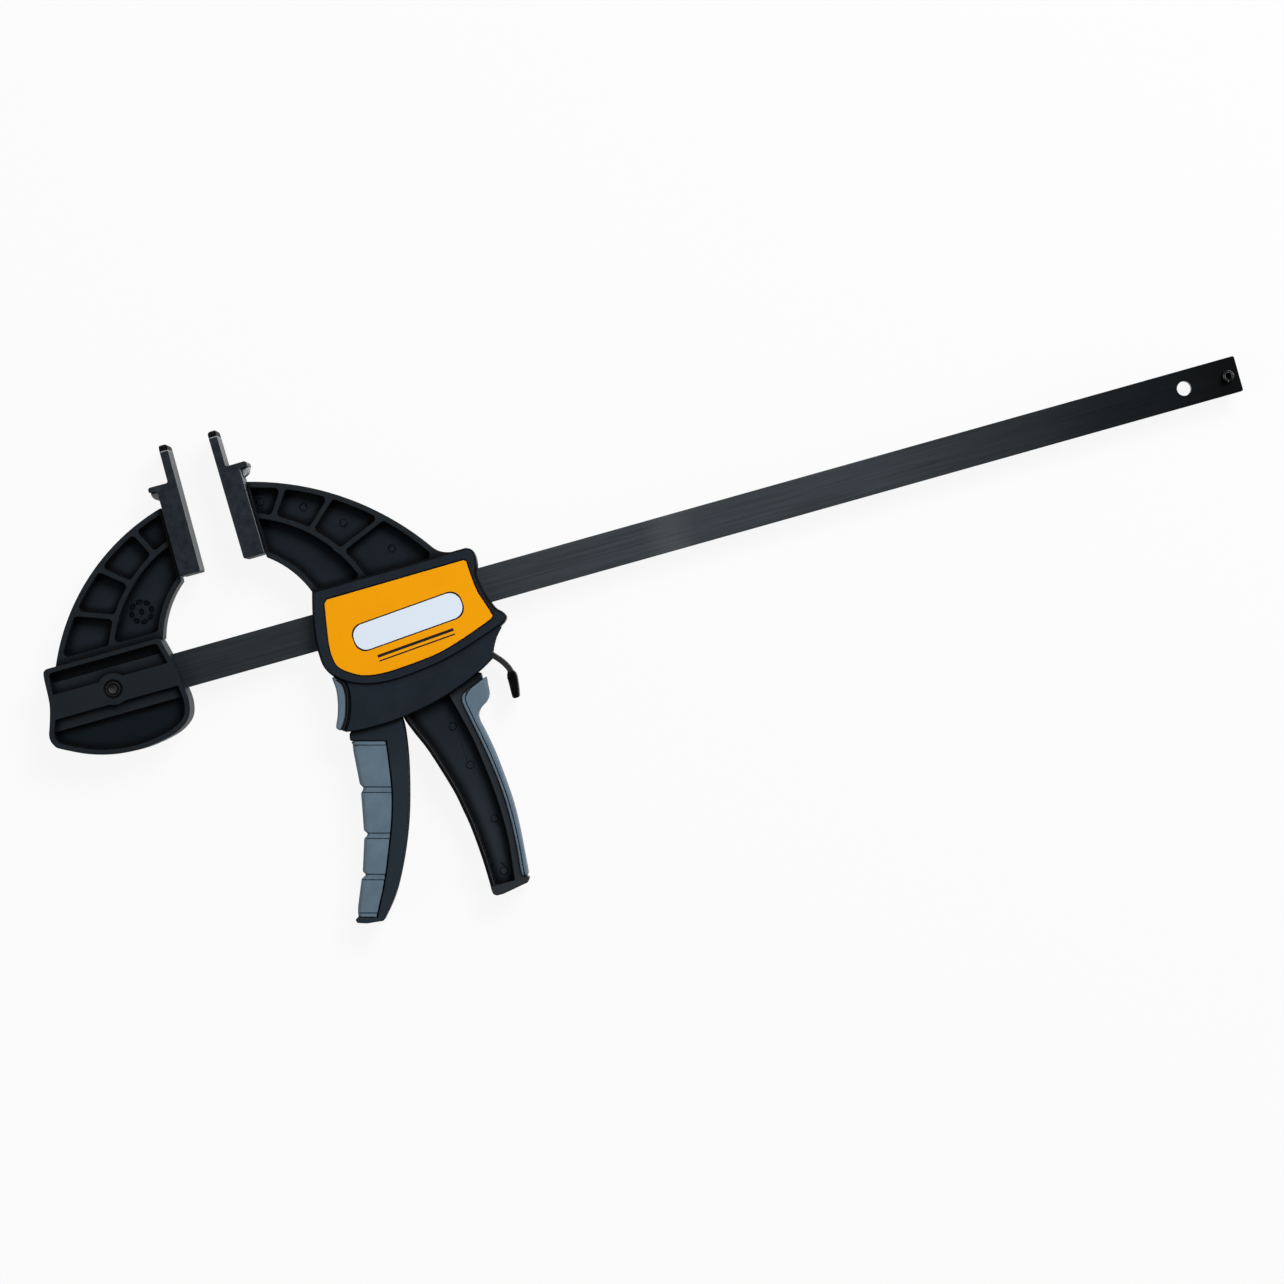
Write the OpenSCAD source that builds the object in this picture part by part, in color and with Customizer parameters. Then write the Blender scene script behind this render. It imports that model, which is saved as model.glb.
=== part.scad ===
// One-handed trigger bar clamp with thin tongues on its pads, for drawing decking boards together.
// It lies on its rear cover. X runs along the bar to its free end, Y runs towards the jaws, Z is up.
// The origin is on the rear cover's outer face, on the bar's centre line, level with the trigger pivot.

/* [Bar] */
// Length of the steel bar
bar_len = 672; // [600:4:760]
// Height of the bar's section
bar_h = 20; // [19:0.5:21]
// Thickness of the bar's section
bar_t = 6; // [5:0.5:7]
// Diameter of the hole near each end of the bar
bar_hole_d = 8; // [6:0.5:9]
// Distance of those holes from the bar's ends
bar_hole_inset = 31; // [24:1:34]
// Diameter of the slotted stop pin
stop_pin_d = 6; // [5:0.5:7]
// Length of the stop pin
stop_pin_len = 18; // [14:1:24]
// Distance of the stop pin from the bar's free end
stop_pin_inset = 6.5; // [5:0.5:12]

/* [Jaws] */
// Opening between the pads at the foot of their faces
jaw_gap = 24.6; // [8:0.2:60]
// Inward lean of each pad in degrees
toe_in = 0.6; // [0:0.2:1.6]
// Thickness of the jaw arches
arch_t = 20; // [16:0.5:22]
// Thickness of the web between the flanges
web_t = 3; // [2:0.5:6]
// Width of the flanges and ribs
flange_w = 3.2; // [2.4:0.2:4.2]
// Thickness of the fixed jaw's base
base_t = 30; // [26:0.5:31]
// Height of the pads' feet above the bar's centre line
pad_foot = 49.2; // [47:0.2:52]

/* [Pads] */
// Width of a pad across the clamp
pad_w = 30; // [28:0.5:31]
// Depth of a pad from its face to its back
pad_t = 11.6; // [10:0.2:13]
// Height of the pad's block
pad_h = 51.3; // [46:0.5:60]
// Height of the tongue above the block
tongue_h = 21; // [14:0.5:28]
// Thickness of the tongue
tongue_t = 4.7; // [3:0.1:6]
// Reach of the ledge behind the block
ledge_out = 4.6; // [2:0.2:6]
// Thickness of the ledge
ledge_t = 3.2; // [2:0.2:5]

/* [Housing] */
// Thickness of the housing over its covers
housing_t = 31; // [30:0.5:34]
// Thickness of the covers' lower skirts, over both
skirt_t = 28; // [26:0.5:29]
// Thickness of the moulded core between the covers
core_t = 23; // [22:0.2:24]
// Depth of the label's recess, which is the label's thickness
label_t = 0.4; // [0.2:0.1:0.8]
// Shank diameter of the cover screws
screw_d = 3; // [2.5:0.1:3.5]
// Head diameter of the cover screws
screw_head_d = 5.6; // [5:0.1:6.4]
// Head height of the cover screws
screw_head_h = 2; // [1.4:0.1:2.4]

/* [Trigger and handle] */
// Diameter of the trigger's pivot pin
pivot_d = 5; // [4:0.2:5.6]
// Side wall of the channelled trigger
trigger_wall = 3; // [2.4:0.1:3.6]
// Thickness of the soft skin on the trigger's sides
grip_skin = 1.5; // [0.8:0.1:1.8]
// Length of the handle below the housing's skirt
grip_len = 108; // [100:1:120]
// Width of the handle's rear flange
handle_t = 20; // [16:0.5:22]
// Width over the soft grip on the handle's back
handle_grip_t = 23; // [22.5:0.5:26]

/* [Mechanism] */
// Thickness of each drive plate
drive_plate_t = 3; // [2:0.25:3.5]
// Thickness of the release lever
lever_t = 3; // [2:0.25:3.5]
// Tilt of the release lever that grips the bar, in degrees
brake_tilt = 5; // [3:0.5:6]
// Wire of the drive spring
drive_wire = 1.6; // [1:0.1:1.8]
// Number of turns of the drive spring
drive_turns = 5; // [4:1:7]
// Wire of the brake spring
brake_wire = 0.8; // [0.5:0.1:1]
// Number of turns of the brake spring
brake_turns = 4; // [3:1:5]

/* [Hidden] */

$fn = 64;
// Facets of the large circles of the jaw arches
arch_fn = 128;
// Steps of a smooth curve between two of its points, and of a rounded corner
curve_steps = 4;
corner_steps = 4;
// Play of a moulded slide fit, and radial play of a turning fit
fit = 0.15;
turn_fit = 0.05;
// Overlap that makes a cut run past a face
past = 1;

mid_z = housing_t / 2;
core_half = core_t / 2;
housing_half = housing_t / 2;
skirt_half = skirt_t / 2;
arch_half = arch_t / 2;

// Trigger sizes across the clamp: its fork clears the bar, and its channel clears the handle's flange
side_play = 1.3;
channel_play = 0.6;
trigger_half = core_half - side_play;
channel_half = trigger_half - trigger_wall;
fork_half = bar_t / 2 + channel_play;
fork_foot = -26;
handle_front_half = channel_half - channel_play;
handle_web_half = 2;

// Trigger pivot, the noses that push the plates, and where the plates start
pivot = [0, bar_h / 2 + 3.6];
arm_r = pivot_d / 2 + 2.7;
nose = [5.4, -bar_h / 2 - 3.8];
nose_r = 2.6;
pin_seat = 2.2;
plate_x = nose.x + nose_r + fit;
plate_top = bar_h / 2 + 7;
plate_foot = -bar_h / 2 - 7.5;
plate_half = 8;
plate_r = 2;

// Walls of the core along X, and the top of its cavities, which clears the trigger's arms
front_wall_x = -9.5;
mid_wall_x = 45;
brake_wall_x = 57;
rear_wall_x = 74.5;
arm_play = 0.4;
cavity_top = pivot.y + arm_r + arm_play;
spring_floor = -22;
top_wall = 3.1;
housing_top = cavity_top + top_wall;
bezel_inset = 1;

// Coil round the bar: its inside clears the bar's corners
coil_play = 0.55;
coil_r = norm([bar_h, bar_t]) / 2 + coil_play + drive_wire / 2;
coil_start = plate_x + 2 * drive_plate_t + fit;
coil_relief = coil_r + drive_wire / 2 + coil_play;

// Release lever: it rocks on a rounded rib of the core below the bar
fulcrum = [62, -18];
fulcrum_r = 2.5;
lever_mid = fulcrum_r + fit / 2 + lever_t / 2;
lever_top = 35;
lever_foot = -6;
lever_half = 8;
brake_play = 0.1;
brake_axis_y = 14;
brake_coil_r = 2.6;
brake_coil_play = 0.5;

// Jaw datum lines
face_x = -44.2;
fixed_face_x = face_x - jaw_gap;
pin_to_face = 63.5;
jaw_pin_x = fixed_face_x - pin_to_face;
bar_x = jaw_pin_x - bar_hole_inset;
bar_end = bar_x + bar_len;
bar_corner_r = 1;
head_len = 37;
head_t = 4;
head_wall = 4.3;
head_half = arch_half + 1.5;
pad_back_play = 0.4;
neck_root = 1.5;

// Circles of the jaw arches as centre and radius, and the ends of their cross ribs
moving_outer = [-70, -58.3, 152.9];
moving_inner = [-64, 3.4, 53.8];
moving_middle = [-59.2, -4.1, 79.4];
moving_ribs = [[[-11.3, 84], [-23.4, 66.5]], [[13.5, 72], [-4.9, 55]], [[39.2, 52.3], [3.5, 37.8]]];
fixed_outer = [82.5, -27.2, 119.9];
fixed_inner = [85.2, 5, 53.8];
fixed_middle = [78.2, -4.3, 78.4];
fixed_ribs = [[[-11, 46.1], [13.4, 36.9]], [[7.7, 67], [24.6, 53]], [[32, 83], [40.5, 66]]];
arch_reach = 120;
arch_right = 80;
moving_root = housing_top - 1.8;
fixed_root = 19;
root_border = 24;
pocket_r = 2;
pocket_fn = 24;
fillet_r = 14;

// Cover screws, clear of the cavities
screw_points = [[-13.8, -19], [51, 15.2], [40, -28], [79.6, -18.6]];
screw_sink = 0.4;
screw_head_play = 0.2;
screw_tip = housing_half - 1.5;
screw_cross = [0.55 * screw_head_d, 0.8, 1.6];

// Curves and corners

function unit(v) = v / norm(v);

function reversed(p) = [for (i = [len(p) - 1 : -1 : 0]) p[i]];

// Smooth curve through the points, ends included
function curve(p) = [
    for (i = [0 : len(p) - 2], k = [0 : curve_steps - 1])
        let (a = p[max(i - 1, 0)], b = p[i], c = p[i + 1], d = p[min(i + 2, len(p) - 1)])
        let (t = k / curve_steps)
        (2 * b + (c - a) * t + (2 * a - 5 * b + 4 * c - d) * t ^ 2 + (3 * b - 3 * c + d - a) * t ^ 3) / 2,
    p[len(p) - 1]
];

// Arc that rounds the corner at b with radius r
function corner(a, b, c, r) =
    let (u = unit(a - b), v = unit(c - b), half = acos(u * v) / 2)
    let (reach = min(r / tan(half), 0.48 * min(norm(a - b), norm(c - b))))
    let (centre = b + unit(u + v) * reach / cos(half))
    let (from = b + u * reach - centre, to = b + v * reach - centre)
    let (turn = sign(cross(from, to)) * (180 - 2 * half))
    [
        for (k = [0 : corner_steps])
            let (t = turn * k / corner_steps)
            centre + [from.x * cos(t) - from.y * sin(t), from.x * sin(t) + from.y * cos(t)]
    ];

function flat(p) = [p.x, p.y];

// Points as height and place, to look a place up by its height
function turned(points) = [for (p = points) [p.y, p.x]];

// Closed outline from corners given as x, y and radius
function rounded(p) = [
    for (i = [0 : len(p) - 1])
        let (n = len(p), a = p[(i + n - 1) % n], b = p[i], c = p[(i + 1) % n])
        each b.z > 0 ? corner(flat(a), flat(b), flat(c), b.z) : [flat(b)]
];

// Open line moved to its left by d
function shifted(p, d) = [
    for (i = [0 : len(p) - 1])
        let (v = unit(p[min(i + 1, len(p) - 1)] - p[max(i - 1, 0)]))
        p[i] + [-v.y, v.x] * d
];

// Strip along an open line, of width w or with a half width for each point
function strip(p, w) = concat(shifted(p, -w / 2), reversed(shifted(p, w / 2)));
function swollen(p, halves) = concat(
    [for (i = [0 : len(p) - 1]) shifted(p, -halves[i])[i]],
    reversed([for (i = [0 : len(p) - 1]) shifted(p, halves[i])[i]])
);

// Closed anticlockwise outline moved inwards by d
function inset(p, d) = [
    for (i = [0 : len(p) - 1])
        let (n = len(p), u = unit(p[i] - p[(i + n - 1) % n]), v = unit(p[(i + 1) % n] - p[i]))
        let (m = unit([-u.y - v.y, u.x + v.x]))
        p[i] + m * d / max(0.5, m * [-u.y, u.x])
];

// Handle and trigger are drawn 108 long below this line, and stretch with the grip's length
grip_top = -58;
drawn_len = 108;
function drop(y) = y > grip_top ? y : grip_top + (y - grip_top) * grip_len / drawn_len;
function dropped(points) = [for (p = points) len(p) == 3 ? [p.x, drop(p.y), p.z] : [p.x, drop(p.y)]];

// Outlines, all anticlockwise

// Core of the housing, which shows as a thin line round the covers
housing_outline = curve([
    [-13.3, housing_top], [-16.1, 11.6], [-18.4, 0], [-19.1, -11], [-18, -20.5], [-12.5, -28.3],
    [-4.1, -33.6], [6, -36.7], [18, -37.5], [31, -36.7], [46, -34.6], [60.5, -31], [75, -26.3],
    [82, -23.6], [85.3, -20.3], [84, -16.8], [80.8, -13.3], [78.2, -6], [76.6, 1.5], [76, 6.8],
    [77.6, 11.5], [78, 17], [76.8, 20.8], [74, housing_top]
]);
bezel_outline = inset(housing_outline, bezel_inset);

// Front edge of the skirt, which is the back of the soft front rest, and the core's wall behind it
guard_w = 3;
skirt_front = curve([
    [-13.2, -28.2], [-10.9, -31.5], [-10.5, -36.5], [-11.8, -43], [-14.4, -50], [-18.2, -55.6]
]);
bead_line = concat(skirt_front, [[-19.6, -57.6]]);
bead_w = 1.8;
bead_groove = 0.9;
bead_depth = 0.4 * (skirt_half - core_half);
skirt_bottom = curve([
    [-16, -57.1], [-9, -58.1], [5.8, -58.3], [16, -57.5], [30.6, -55.4], [42.6, -52.4], [55.5, -48],
    [65.5, -43.4], [71.4, -40]
]);
skirt_rear = curve([[73.9, -34], [76.9, -29], [81, -24.5]]);
skirt_outline = concat(skirt_front, skirt_bottom, skirt_rear, [[70, -20], [-8, -20]]);

label_outline = concat(
    curve([
        [-8.6, 14], [-11.1, -0.3], [-12.6, -12.2], [-11.1, -21.2], [-5.1, -26.7], [2.8, -30.5],
        [15.8, -31.9], [40.6, -30.1], [55.5, -26.7], [70.5, -21.7], [77.6, -19]
    ]),
    curve([[78.9, -17.4], [76.4, -9.3], [74.2, -2], [73.3, 6], [72.9, 15]]),
    [[71.6, 16.4], [-6.4, 15.8]]
);
// Gap round the label in its recess
label_gap = 0.4;

// Soft rest on that edge: its front, and its back with the slope at its top
rest_front = curve([
    [-15.7, -26.2], [-15.1, -33], [-16.1, -40], [-18.1, -47], [-20.5, -52.6], [-20.2, -54.4], [-19, -55.4]
]);
rest_back = concat([[-14.9, -26.2]], shifted(skirt_front, guard_w / 2));

// Trigger: collar, hidden fork, rear edge, tip, and the hard front under the grip
trigger_rear = curve(dropped([
    [5.4, -18], [6.4, -27], [12.3, -44], [15.2, -57.7], [14, -71.7], [10.2, -89.7], [3.8, -111.7],
    [-4.4, -131.7], [-14.4, -150.2], [-24.4, -162.3]
]));
trigger_tip = dropped([[-33.4, -161.3], [-38.6, -159.6], [-39.2, -157.6]]);
trigger_front = curve(dropped([
    [-33.6, -154], [-24.8, -134], [-18.2, -112], [-13.8, -88], [-12, -67], [-11.6, -63.4]
]));
trigger_collar = dropped([
    [-14.2, -63.2], [-15.5, -62], [-14.8, -58.6], [-12.6, -56.4], [-8.8, -50.6], [-6, -43],
    [-4.7, -36], [-5.6, -25]
]);
trigger_outline = concat(
    reversed(trigger_rear), [[5, -8], [arm_r, pivot.y], [-arm_r, pivot.y], [-6.4, -8]],
    reversed(trigger_collar), reversed(trigger_front), reversed(trigger_tip)
);
channel_floor = curve(dropped([
    [0, fork_foot], [0.5, -36], [-1, -45], [-4, -56], [-5, -70], [-6.5, -85], [-10.5, -108], [-16, -127],
    [-23.5, -145]
]));

// Soft grip of the trigger: four finger lobes with a notch and a shallow valley between each two.
// Its sections are square to the way it leans
lean = 15.7;
function leaned(p, a) = [p.x * cos(a) - p.y * sin(a), p.x * sin(a) + p.y * cos(a)];
function lean_all(points, a) = [for (p = points) leaned(p, a)];

grip_back = lean_all(curve(dropped([
    [3.6, -67.8], [2.9, -74], [0.1, -91.7], [-2.9, -103.7], [-7.4, -116.7], [-17.4, -140.7],
    [-26.6, -158.2]
])), lean);
notches = dropped([[-15.4, -89.2, 0.8], [-19.9, -114.2, 0.8], [-26.9, -135.7, 0.8]]);
grip_corners = rounded(concat(
    [[0, -62.8, 0], [-14.3, -62.8, 0]],
    dropped([[-15.3, -66.7, 2], [-16.9, -86.7, 1.5]]), [notches[0]],
    dropped([[-17.6, -91.7, 1.5], [-21.6, -111.7, 1.5]]), [notches[1]],
    dropped([[-22.7, -116.2, 1.5], [-28.3, -133.2, 1.5]]), [notches[2]],
    dropped([[-29.9, -136.7, 1.5], [-36.7, -152.7, 3], [-37.8, -160, 0], [0, -160, 0]])
));
grip_front = lean_all([for (i = [1 : len(grip_corners) - 2]) grip_corners[i]], lean);
// Sections near the ends and round each notch's bottom: step in height, and how many valley depths
// the side lies low there, which is 1 on a valley's floor and 2 in the crease along its border
grip_high = -64.3;
grip_low = leaned([0, drop(-158.2)], lean).y - 8.5;
valley_depth = 0.27 * grip_skin;
end_steps = [[0, 1], [2, 1], [2.3, 2], [2.6, 0], [6, 0], [12, 0]];
notch_steps = [
    [8, 0], [3.5, 0], [2.6, 0], [2, 0], [1.4, 0], [0.9, 0], [0.6, 2], [0.3, 1], [-0.6, 1], [-1.2, 1],
    [-1.75, 1], [-2.2, 1], [-2.5, 2], [-2.8, 0], [-3.2, 0], [-3.6, 0], [-4.4, 0], [-9, 0]
];
grip_stations = [
    for (step = concat(
        [for (e = end_steps) [grip_high - e[0], e[1]]],
        [for (n = notches, e = notch_steps) [leaned(n, lean).y + e[0], e[1]]],
        [for (e = reversed(end_steps)) [grip_low + e[0], e[1]]]
    ))
        [
            step[0], lookup(step[0], turned(grip_front)), lookup(step[0], turned(grip_back)),
            trigger_half - step[1] * valley_depth
        ]
];
grip_outline = lean_all(concat(
    [for (g = grip_stations) [g[1], g[0]]], reversed([for (g = grip_stations) [g[2], g[0]]])
), -lean);

// Handle: an I section with a narrow front flange that the trigger swallows
handle_front = curve(dropped([
    [27, -30], [21, -34.5], [17.2, -43], [15.9, -52], [16.2, -58.7], [19.6, -68], [24.5, -80],
    [31.3, -103], [33.6, -115], [35.4, -127], [36.7, -145], [37, -162]
]));
handle_front_flange_w = 3.6;
ridge_in = 2;
ridge_w = 0.9;
ridge_h = 0.3;
recess_rear = curve(dropped([
    [42, -48], [46.6, -66], [49.6, -80], [51.6, -95], [53.1, -110], [53.6, -125], [53.1, -140],
    [50.6, -160]
]));
handle_grip_outer = curve(dropped([
    [65.8, -46], [65.2, -53], [64.6, -58.3], [62.2, -61.8], [58.4, -64.2], [56, -67.5], [55.8, -71.5],
    [57.2, -78], [59.2, -90], [60.6, -105], [61.4, -119], [61, -133], [59.8, -148], [58.8, -159.2]
]));
handle_grip_inner = concat([[64, -46], [58.5, -49.3]], curve(dropped([
    [51.2, -54.5], [49.6, -58], [51, -67], [53.4, -80], [55.8, -95], [57.4, -110], [57.8, -123],
    [57.2, -140], [55.5, -156], [55.8, -159.2]
])));
handle_grip_wall = 2.2;
handle_rear = shifted(handle_grip_outer, -handle_grip_wall);
handle_end = [58.9, drop(-161.5)];
handle_back = concat(recess_rear, [handle_end], reversed(handle_rear));
handle_foot = dropped([[37.3, -164.6], [39, -165.8], [42.6, -165.9], [57.4, -163.4]]);
handle_outline = concat(handle_front, handle_foot, [handle_end], reversed(handle_rear));
handle_floor = drop(-160);
arch_ejects = [[-28, 77.3], [-5.9, 68.1], [12.9, 53.8], [34.8, 33.2]];
eject_points = dropped([[40.5, -70], [44, -93], [49, -125], [46, -154]]);
eject_d = 4.4;
eject_h = 0.4;

// Core at the root of the handle, behind the trigger's sweep
root_outline = [
    [23, -20], [26.8, -33], [32.3, -44], [36.5, -53.4], [43, -51.8], [55.3, -47.4], [64.5, -43.2],
    [66.5, -41.5], [57, -30], [57, -20]
];
drive_cavity = [
    [front_wall_x, cavity_top], [front_wall_x, -70], [36.5, -70], [36.5, -52.5], [32.3, -44],
    [26.8, -33], [23, spring_floor], [mid_wall_x, spring_floor], [mid_wall_x, cavity_top]
];
brake_cavity = [
    [brake_wall_x, cavity_top], [brake_wall_x, -30], [66.5, -41.5], [76, -50], [88, -36],
    [rear_wall_x, -24.8], [rear_wall_x, cavity_top]
];
rest_step = 0.5;
// Edge radii of the soft pieces: towards the fingers, and where they meet the hard parts
finger_r = 2.6;
palm_r = 1.4;
seam_r = 0.6;
// Lip along the inner border of the handle's grip, a little low, with a crease beside it
grip_lip = 1.5;
lip_step = 0.2;
crease_w = 0.7;
crease_depth = 0.55 * (handle_grip_t - handle_t) / 2;

// Base of the fixed jaw, from its pin
base_outline = curve([
    [-32.3, 20.4], [-34.7, 17.6], [-35.7, 2], [-38.3, -8.1], [-40.8, -16.1], [-39.2, -21.5], [-35.4, -24.4],
    [-21.9, -30.9], [-7.2, -34.8], [8.5, -35.6], [23.6, -33.2], [31.5, -29.8], [36.3, -25], [38.2, -17.5],
    [37.7, -9], [36.5, 1], [34, 11.5], [32.2, 18.6], [30.6, 20.4]
]);
base_rim = 3;
base_boss_r = 9;
base_ledge_half = base_t / 2 - 3.5;
base_ledge = [-14.5, 12.4];
base_band = [-8, 6];
base_floor_half = bar_t / 2 + 4;
base_left = -40;
// Pin through the jaw: a groove round its ends, which lie just below the base's faces and are hollow
pin_groove = 1;
pin_sink = 0.4;
pin_bore_d = 0.56 * bar_hole_d;
pin_bore_depth = 3;

// Points along the release lever below its straight plate
lever_tail = [
    [67.3, -29], [69.2, -34.2], [72.7, -38.6], [75.8, -42.2], [78, -45.6], [79.4, -49.5], [79.3, -56],
    [78.6, -63.2]
];
// Dipped tip: its cover over the lever's edges and end, and at steps along the lever over its faces
tip_cover = 1.2;
tip_swell = [[0, 0.3], [1.5, 1.3], [5.5, 0.9], [8, 0.5], [9, 0]];

// Shapes that repeat

// Flat piece of the given half thickness about the clamp's middle plane
module slab(outline, half) {
    translate([0, 0, -half]) linear_extrude(2 * half) polygon(outline);
}

// Section of a soft piece at one station, which gives its height, its two ends and its half width.
// The ends are rounded by r0 and r1, and a lip of the given width may run along the first end
function section(g, r0, r1, lip) =
    let (x0 = g[1], x1 = g[2], half = g[3], foot = half - lip_step, deep = half - crease_depth)
    let (edge = x0 + min(lip, (x1 - x0) / 3), mid = edge + crease_w / 2, panel = edge + crease_w)
    rounded(lip > 0 ? [
        [x0, -foot, r0], [edge, -foot, 0], [mid, -deep, 0], [panel, -half, 0], [x1, -half, r1],
        [x1, half, r1], [panel, half, 0], [mid, deep, 0], [edge, foot, 0], [x0, foot, r0]
    ] : [[x0, -half, r0], [x1, -half, r1], [x1, half, r1], [x0, half, r0]]);

// Soft piece lofted down the clamp through a section at each station
module lofted(stations, r0, r1, lip = 0) {
    rings = [for (g = stations) [for (q = section(g, r0, r1, lip)) [q.x, g[0], q.y]]];
    n = len(rings[0]);
    last = (len(rings) - 1) * n;
    walls = [
        for (k = [0 : len(rings) - 2], i = [0 : n - 1])
            let (j = (i + 1) % n, a = k * n, b = a + n)
            each [[a + i, b + j, b + i], [a + i, a + j, b + j]]
    ];
    polyhedron([for (r = rings) each r], concat(
        walls,
        [for (i = [1 : n - 2]) [0, i + 1, i]],
        [for (i = [1 : n - 2]) [last, last + i, last + i + 1]]
    ));
}

// Round bar across the clamp at a point
module across(at, d, half) {
    translate([at.x, at.y, -half]) cylinder(d = d, h = 2 * half);
}

// Rectangular passage along X, with play round the bar
module bar_passage(x0, x1, play) {
    translate([x0, -bar_h / 2 - play, -bar_t / 2 - play])
        cube([x1 - x0, bar_h + 2 * play, bar_t + 2 * play]);
}

module disc(c, grow = 0) {
    translate([c.x, c.y]) circle(r = c.z + grow, $fn = arch_fn);
}

module ring(c, from, to) {
    difference() {
        disc(c, to);
        disc(c, from);
    }
}

// Points of a coil along X, one ring of wire sections after another
wire_sides = 6;
coil_rings = 16;
function coil_point(r, x0, pitch, k) =
    let (a = 360 * k / coil_rings)
    [x0 + pitch * k / coil_rings, r * cos(a), r * sin(a)];

module coil(r, wire, x0, x1, turns) {
    pitch = (x1 - x0 - wire) / turns;
    count = turns * coil_rings;
    points = [
        for (k = [0 : count], s = [0 : wire_sides - 1])
            let (a = 360 * k / coil_rings, b = 360 * s / wire_sides, reach = r + wire / 2 * cos(b))
            [x0 + wire / 2 + pitch * k / coil_rings + wire / 2 * sin(b), reach * cos(a), reach * sin(a)]
    ];
    walls = [
        for (k = [0 : count - 1], s = [0 : wire_sides - 1])
            let (t = (s + 1) % wire_sides, p = k * wire_sides, q = p + wire_sides)
            each [[p + s, q + t, q + s], [p + s, p + t, q + t]]
    ];
    last = count * wire_sides;
    polyhedron(points, concat(
        walls,
        [for (s = [1 : wire_sides - 2]) [0, s + 1, s]],
        [for (s = [1 : wire_sides - 2]) [last, last + s, last + s + 1]]
    ));
    turn = [for (k = [0 : 2 * coil_rings]) coil_point(r, x0, pitch, k)];
    echo("least gap of the coil to itself", min([
        for (k = [coil_rings - 4 : 2 * coil_rings]) norm(turn[k] - turn[0])
    ]) - wire);
}

// Outline of a jaw arch between its two circles, above root, to the right of left and the left of right
module arch_region(outer, inner, root, left, right) {
    intersection() {
        difference() {
            disc(outer);
            disc(inner);
        }
        translate([left, root]) square([right - left, arch_reach]);
    }
}

// Jaw arch: a web with flanges, a middle rib and cross ribs, with rounded pockets between them and
// solid from its root up to its border
module arch(outer, inner, middle, ribs, root, border, left, right) {
    translate([0, 0, -web_t / 2]) linear_extrude(web_t) arch_region(outer, inner, root, left, right);
    translate([0, 0, -arch_half]) linear_extrude(arch_t) intersection() {
        arch_region(outer, inner, root, left, right);
        offset(r = -pocket_r, $fn = pocket_fn) offset(delta = pocket_r) {
            ring(outer, -flange_w, 3 * pocket_r);
            ring(inner, -3 * pocket_r, flange_w);
            ring(middle, -flange_w / 2, flange_w / 2);
            for (r = ribs) polygon(strip(r, flange_w));
            translate([left, 0]) square([right - left, border]);
        }
    }
}

// Head on a jaw's end that a pad slides over, from the foot of the pad's face
module pad_head() {
    neck = pad_t + pad_back_play + neck_root - head_wall;
    translate([head_wall + fit, fit, -head_half]) cube([head_t, head_len, 2 * head_half]);
    translate([head_wall + fit, fit, -arch_half]) cube([neck, head_len, arch_t]);
}

// Pad with its face at x = 0 and its back towards +X: block, ledge and thin tongue
module pad() {
    side = rounded([
        [0, 0, 1], [pad_t, 0, 1], [pad_t, pad_h - ledge_t, 0.8],
        [pad_t + ledge_out, pad_h - ledge_t, 1.4], [pad_t + ledge_out, pad_h, 1.4],
        [tongue_t, pad_h, 1], [tongue_t, pad_h + tongue_h, 0.8], [0, pad_h + tongue_h, 1.6]
    ]);
    tip_r = 4.5;
    front = rounded([
        [-past, -pad_w / 2, 0], [pad_h + tongue_h, -pad_w / 2, tip_r],
        [pad_h + tongue_h, pad_w / 2, tip_r], [-past, pad_w / 2, 0]
    ]);
    gusset_r = ledge_out - fit;
    gusset_half = pad_w / 5;
    difference() {
        union() {
            intersection() {
                slab(side, pad_w);
                translate([-past, 0, 0]) rotate([90, 0, 90]) linear_extrude(pad_t + ledge_out + 2 * past)
                    polygon(front);
            }
            translate([pad_t, pad_h - ledge_t, -gusset_half]) linear_extrude(2 * gusset_half)
                intersection() {
                    circle(r = gusset_r);
                    translate([-past, -2 * gusset_r]) square([2 * gusset_r, 2 * gusset_r + past / 2]);
                }
        }
        translate([head_wall, -past, -head_half - fit])
            cube([head_t + 2 * fit, head_len + past + 2 * fit, 2 * head_half + 2 * fit]);
        translate([head_wall, -past, -arch_half - fit])
            cube([pad_t, head_len + past + 2 * fit, arch_t + 2 * fit]);
    }
}

module at_moving_face() {
    translate([face_x, pad_foot, 0]) rotate([0, 0, toe_in]) children();
}

module at_fixed_face() {
    translate([fixed_face_x, pad_foot, 0]) mirror([1, 0, 0]) rotate([0, 0, toe_in]) children();
}

// Lifts a piece from the middle plane to its place above the rear cover's face
module lift() {
    translate([0, 0, mid_z]) children();
}

// Body

module core() {
    difference() {
        union() {
            slab(housing_outline, core_half);
            slab(root_outline, core_half);
        }
        slab(drive_cavity, core_half + past);
        slab(brake_cavity, core_half + past);
    }
    slab(concat(skirt_front, reversed(shifted(skirt_front, guard_w))), core_half);
    slab([
        [brake_wall_x - past, fulcrum.y - fulcrum_r], [fulcrum.x, fulcrum.y - fulcrum_r],
        [fulcrum.x, fulcrum.y + fulcrum_r], [brake_wall_x - past, fulcrum.y + fulcrum_r]
    ], core_half);
    across(fulcrum, 2 * fulcrum_r, core_half);
}

module handle() {
    slab(handle_outline, handle_web_half);
    slab(concat(handle_front, reversed(shifted(handle_front, handle_front_flange_w))), handle_front_half);
    slab(strip(shifted(handle_front, ridge_in), ridge_w), handle_front_half + ridge_h);
    slab(handle_back, handle_t / 2);
    intersection() {
        slab(handle_outline, handle_t / 2);
        translate([0, 2 * handle_floor, -handle_t / 2]) cube([arch_right, -handle_floor, handle_t]);
    }
    for (p = eject_points) across(p, eject_d, handle_web_half + eject_h);
}

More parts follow.
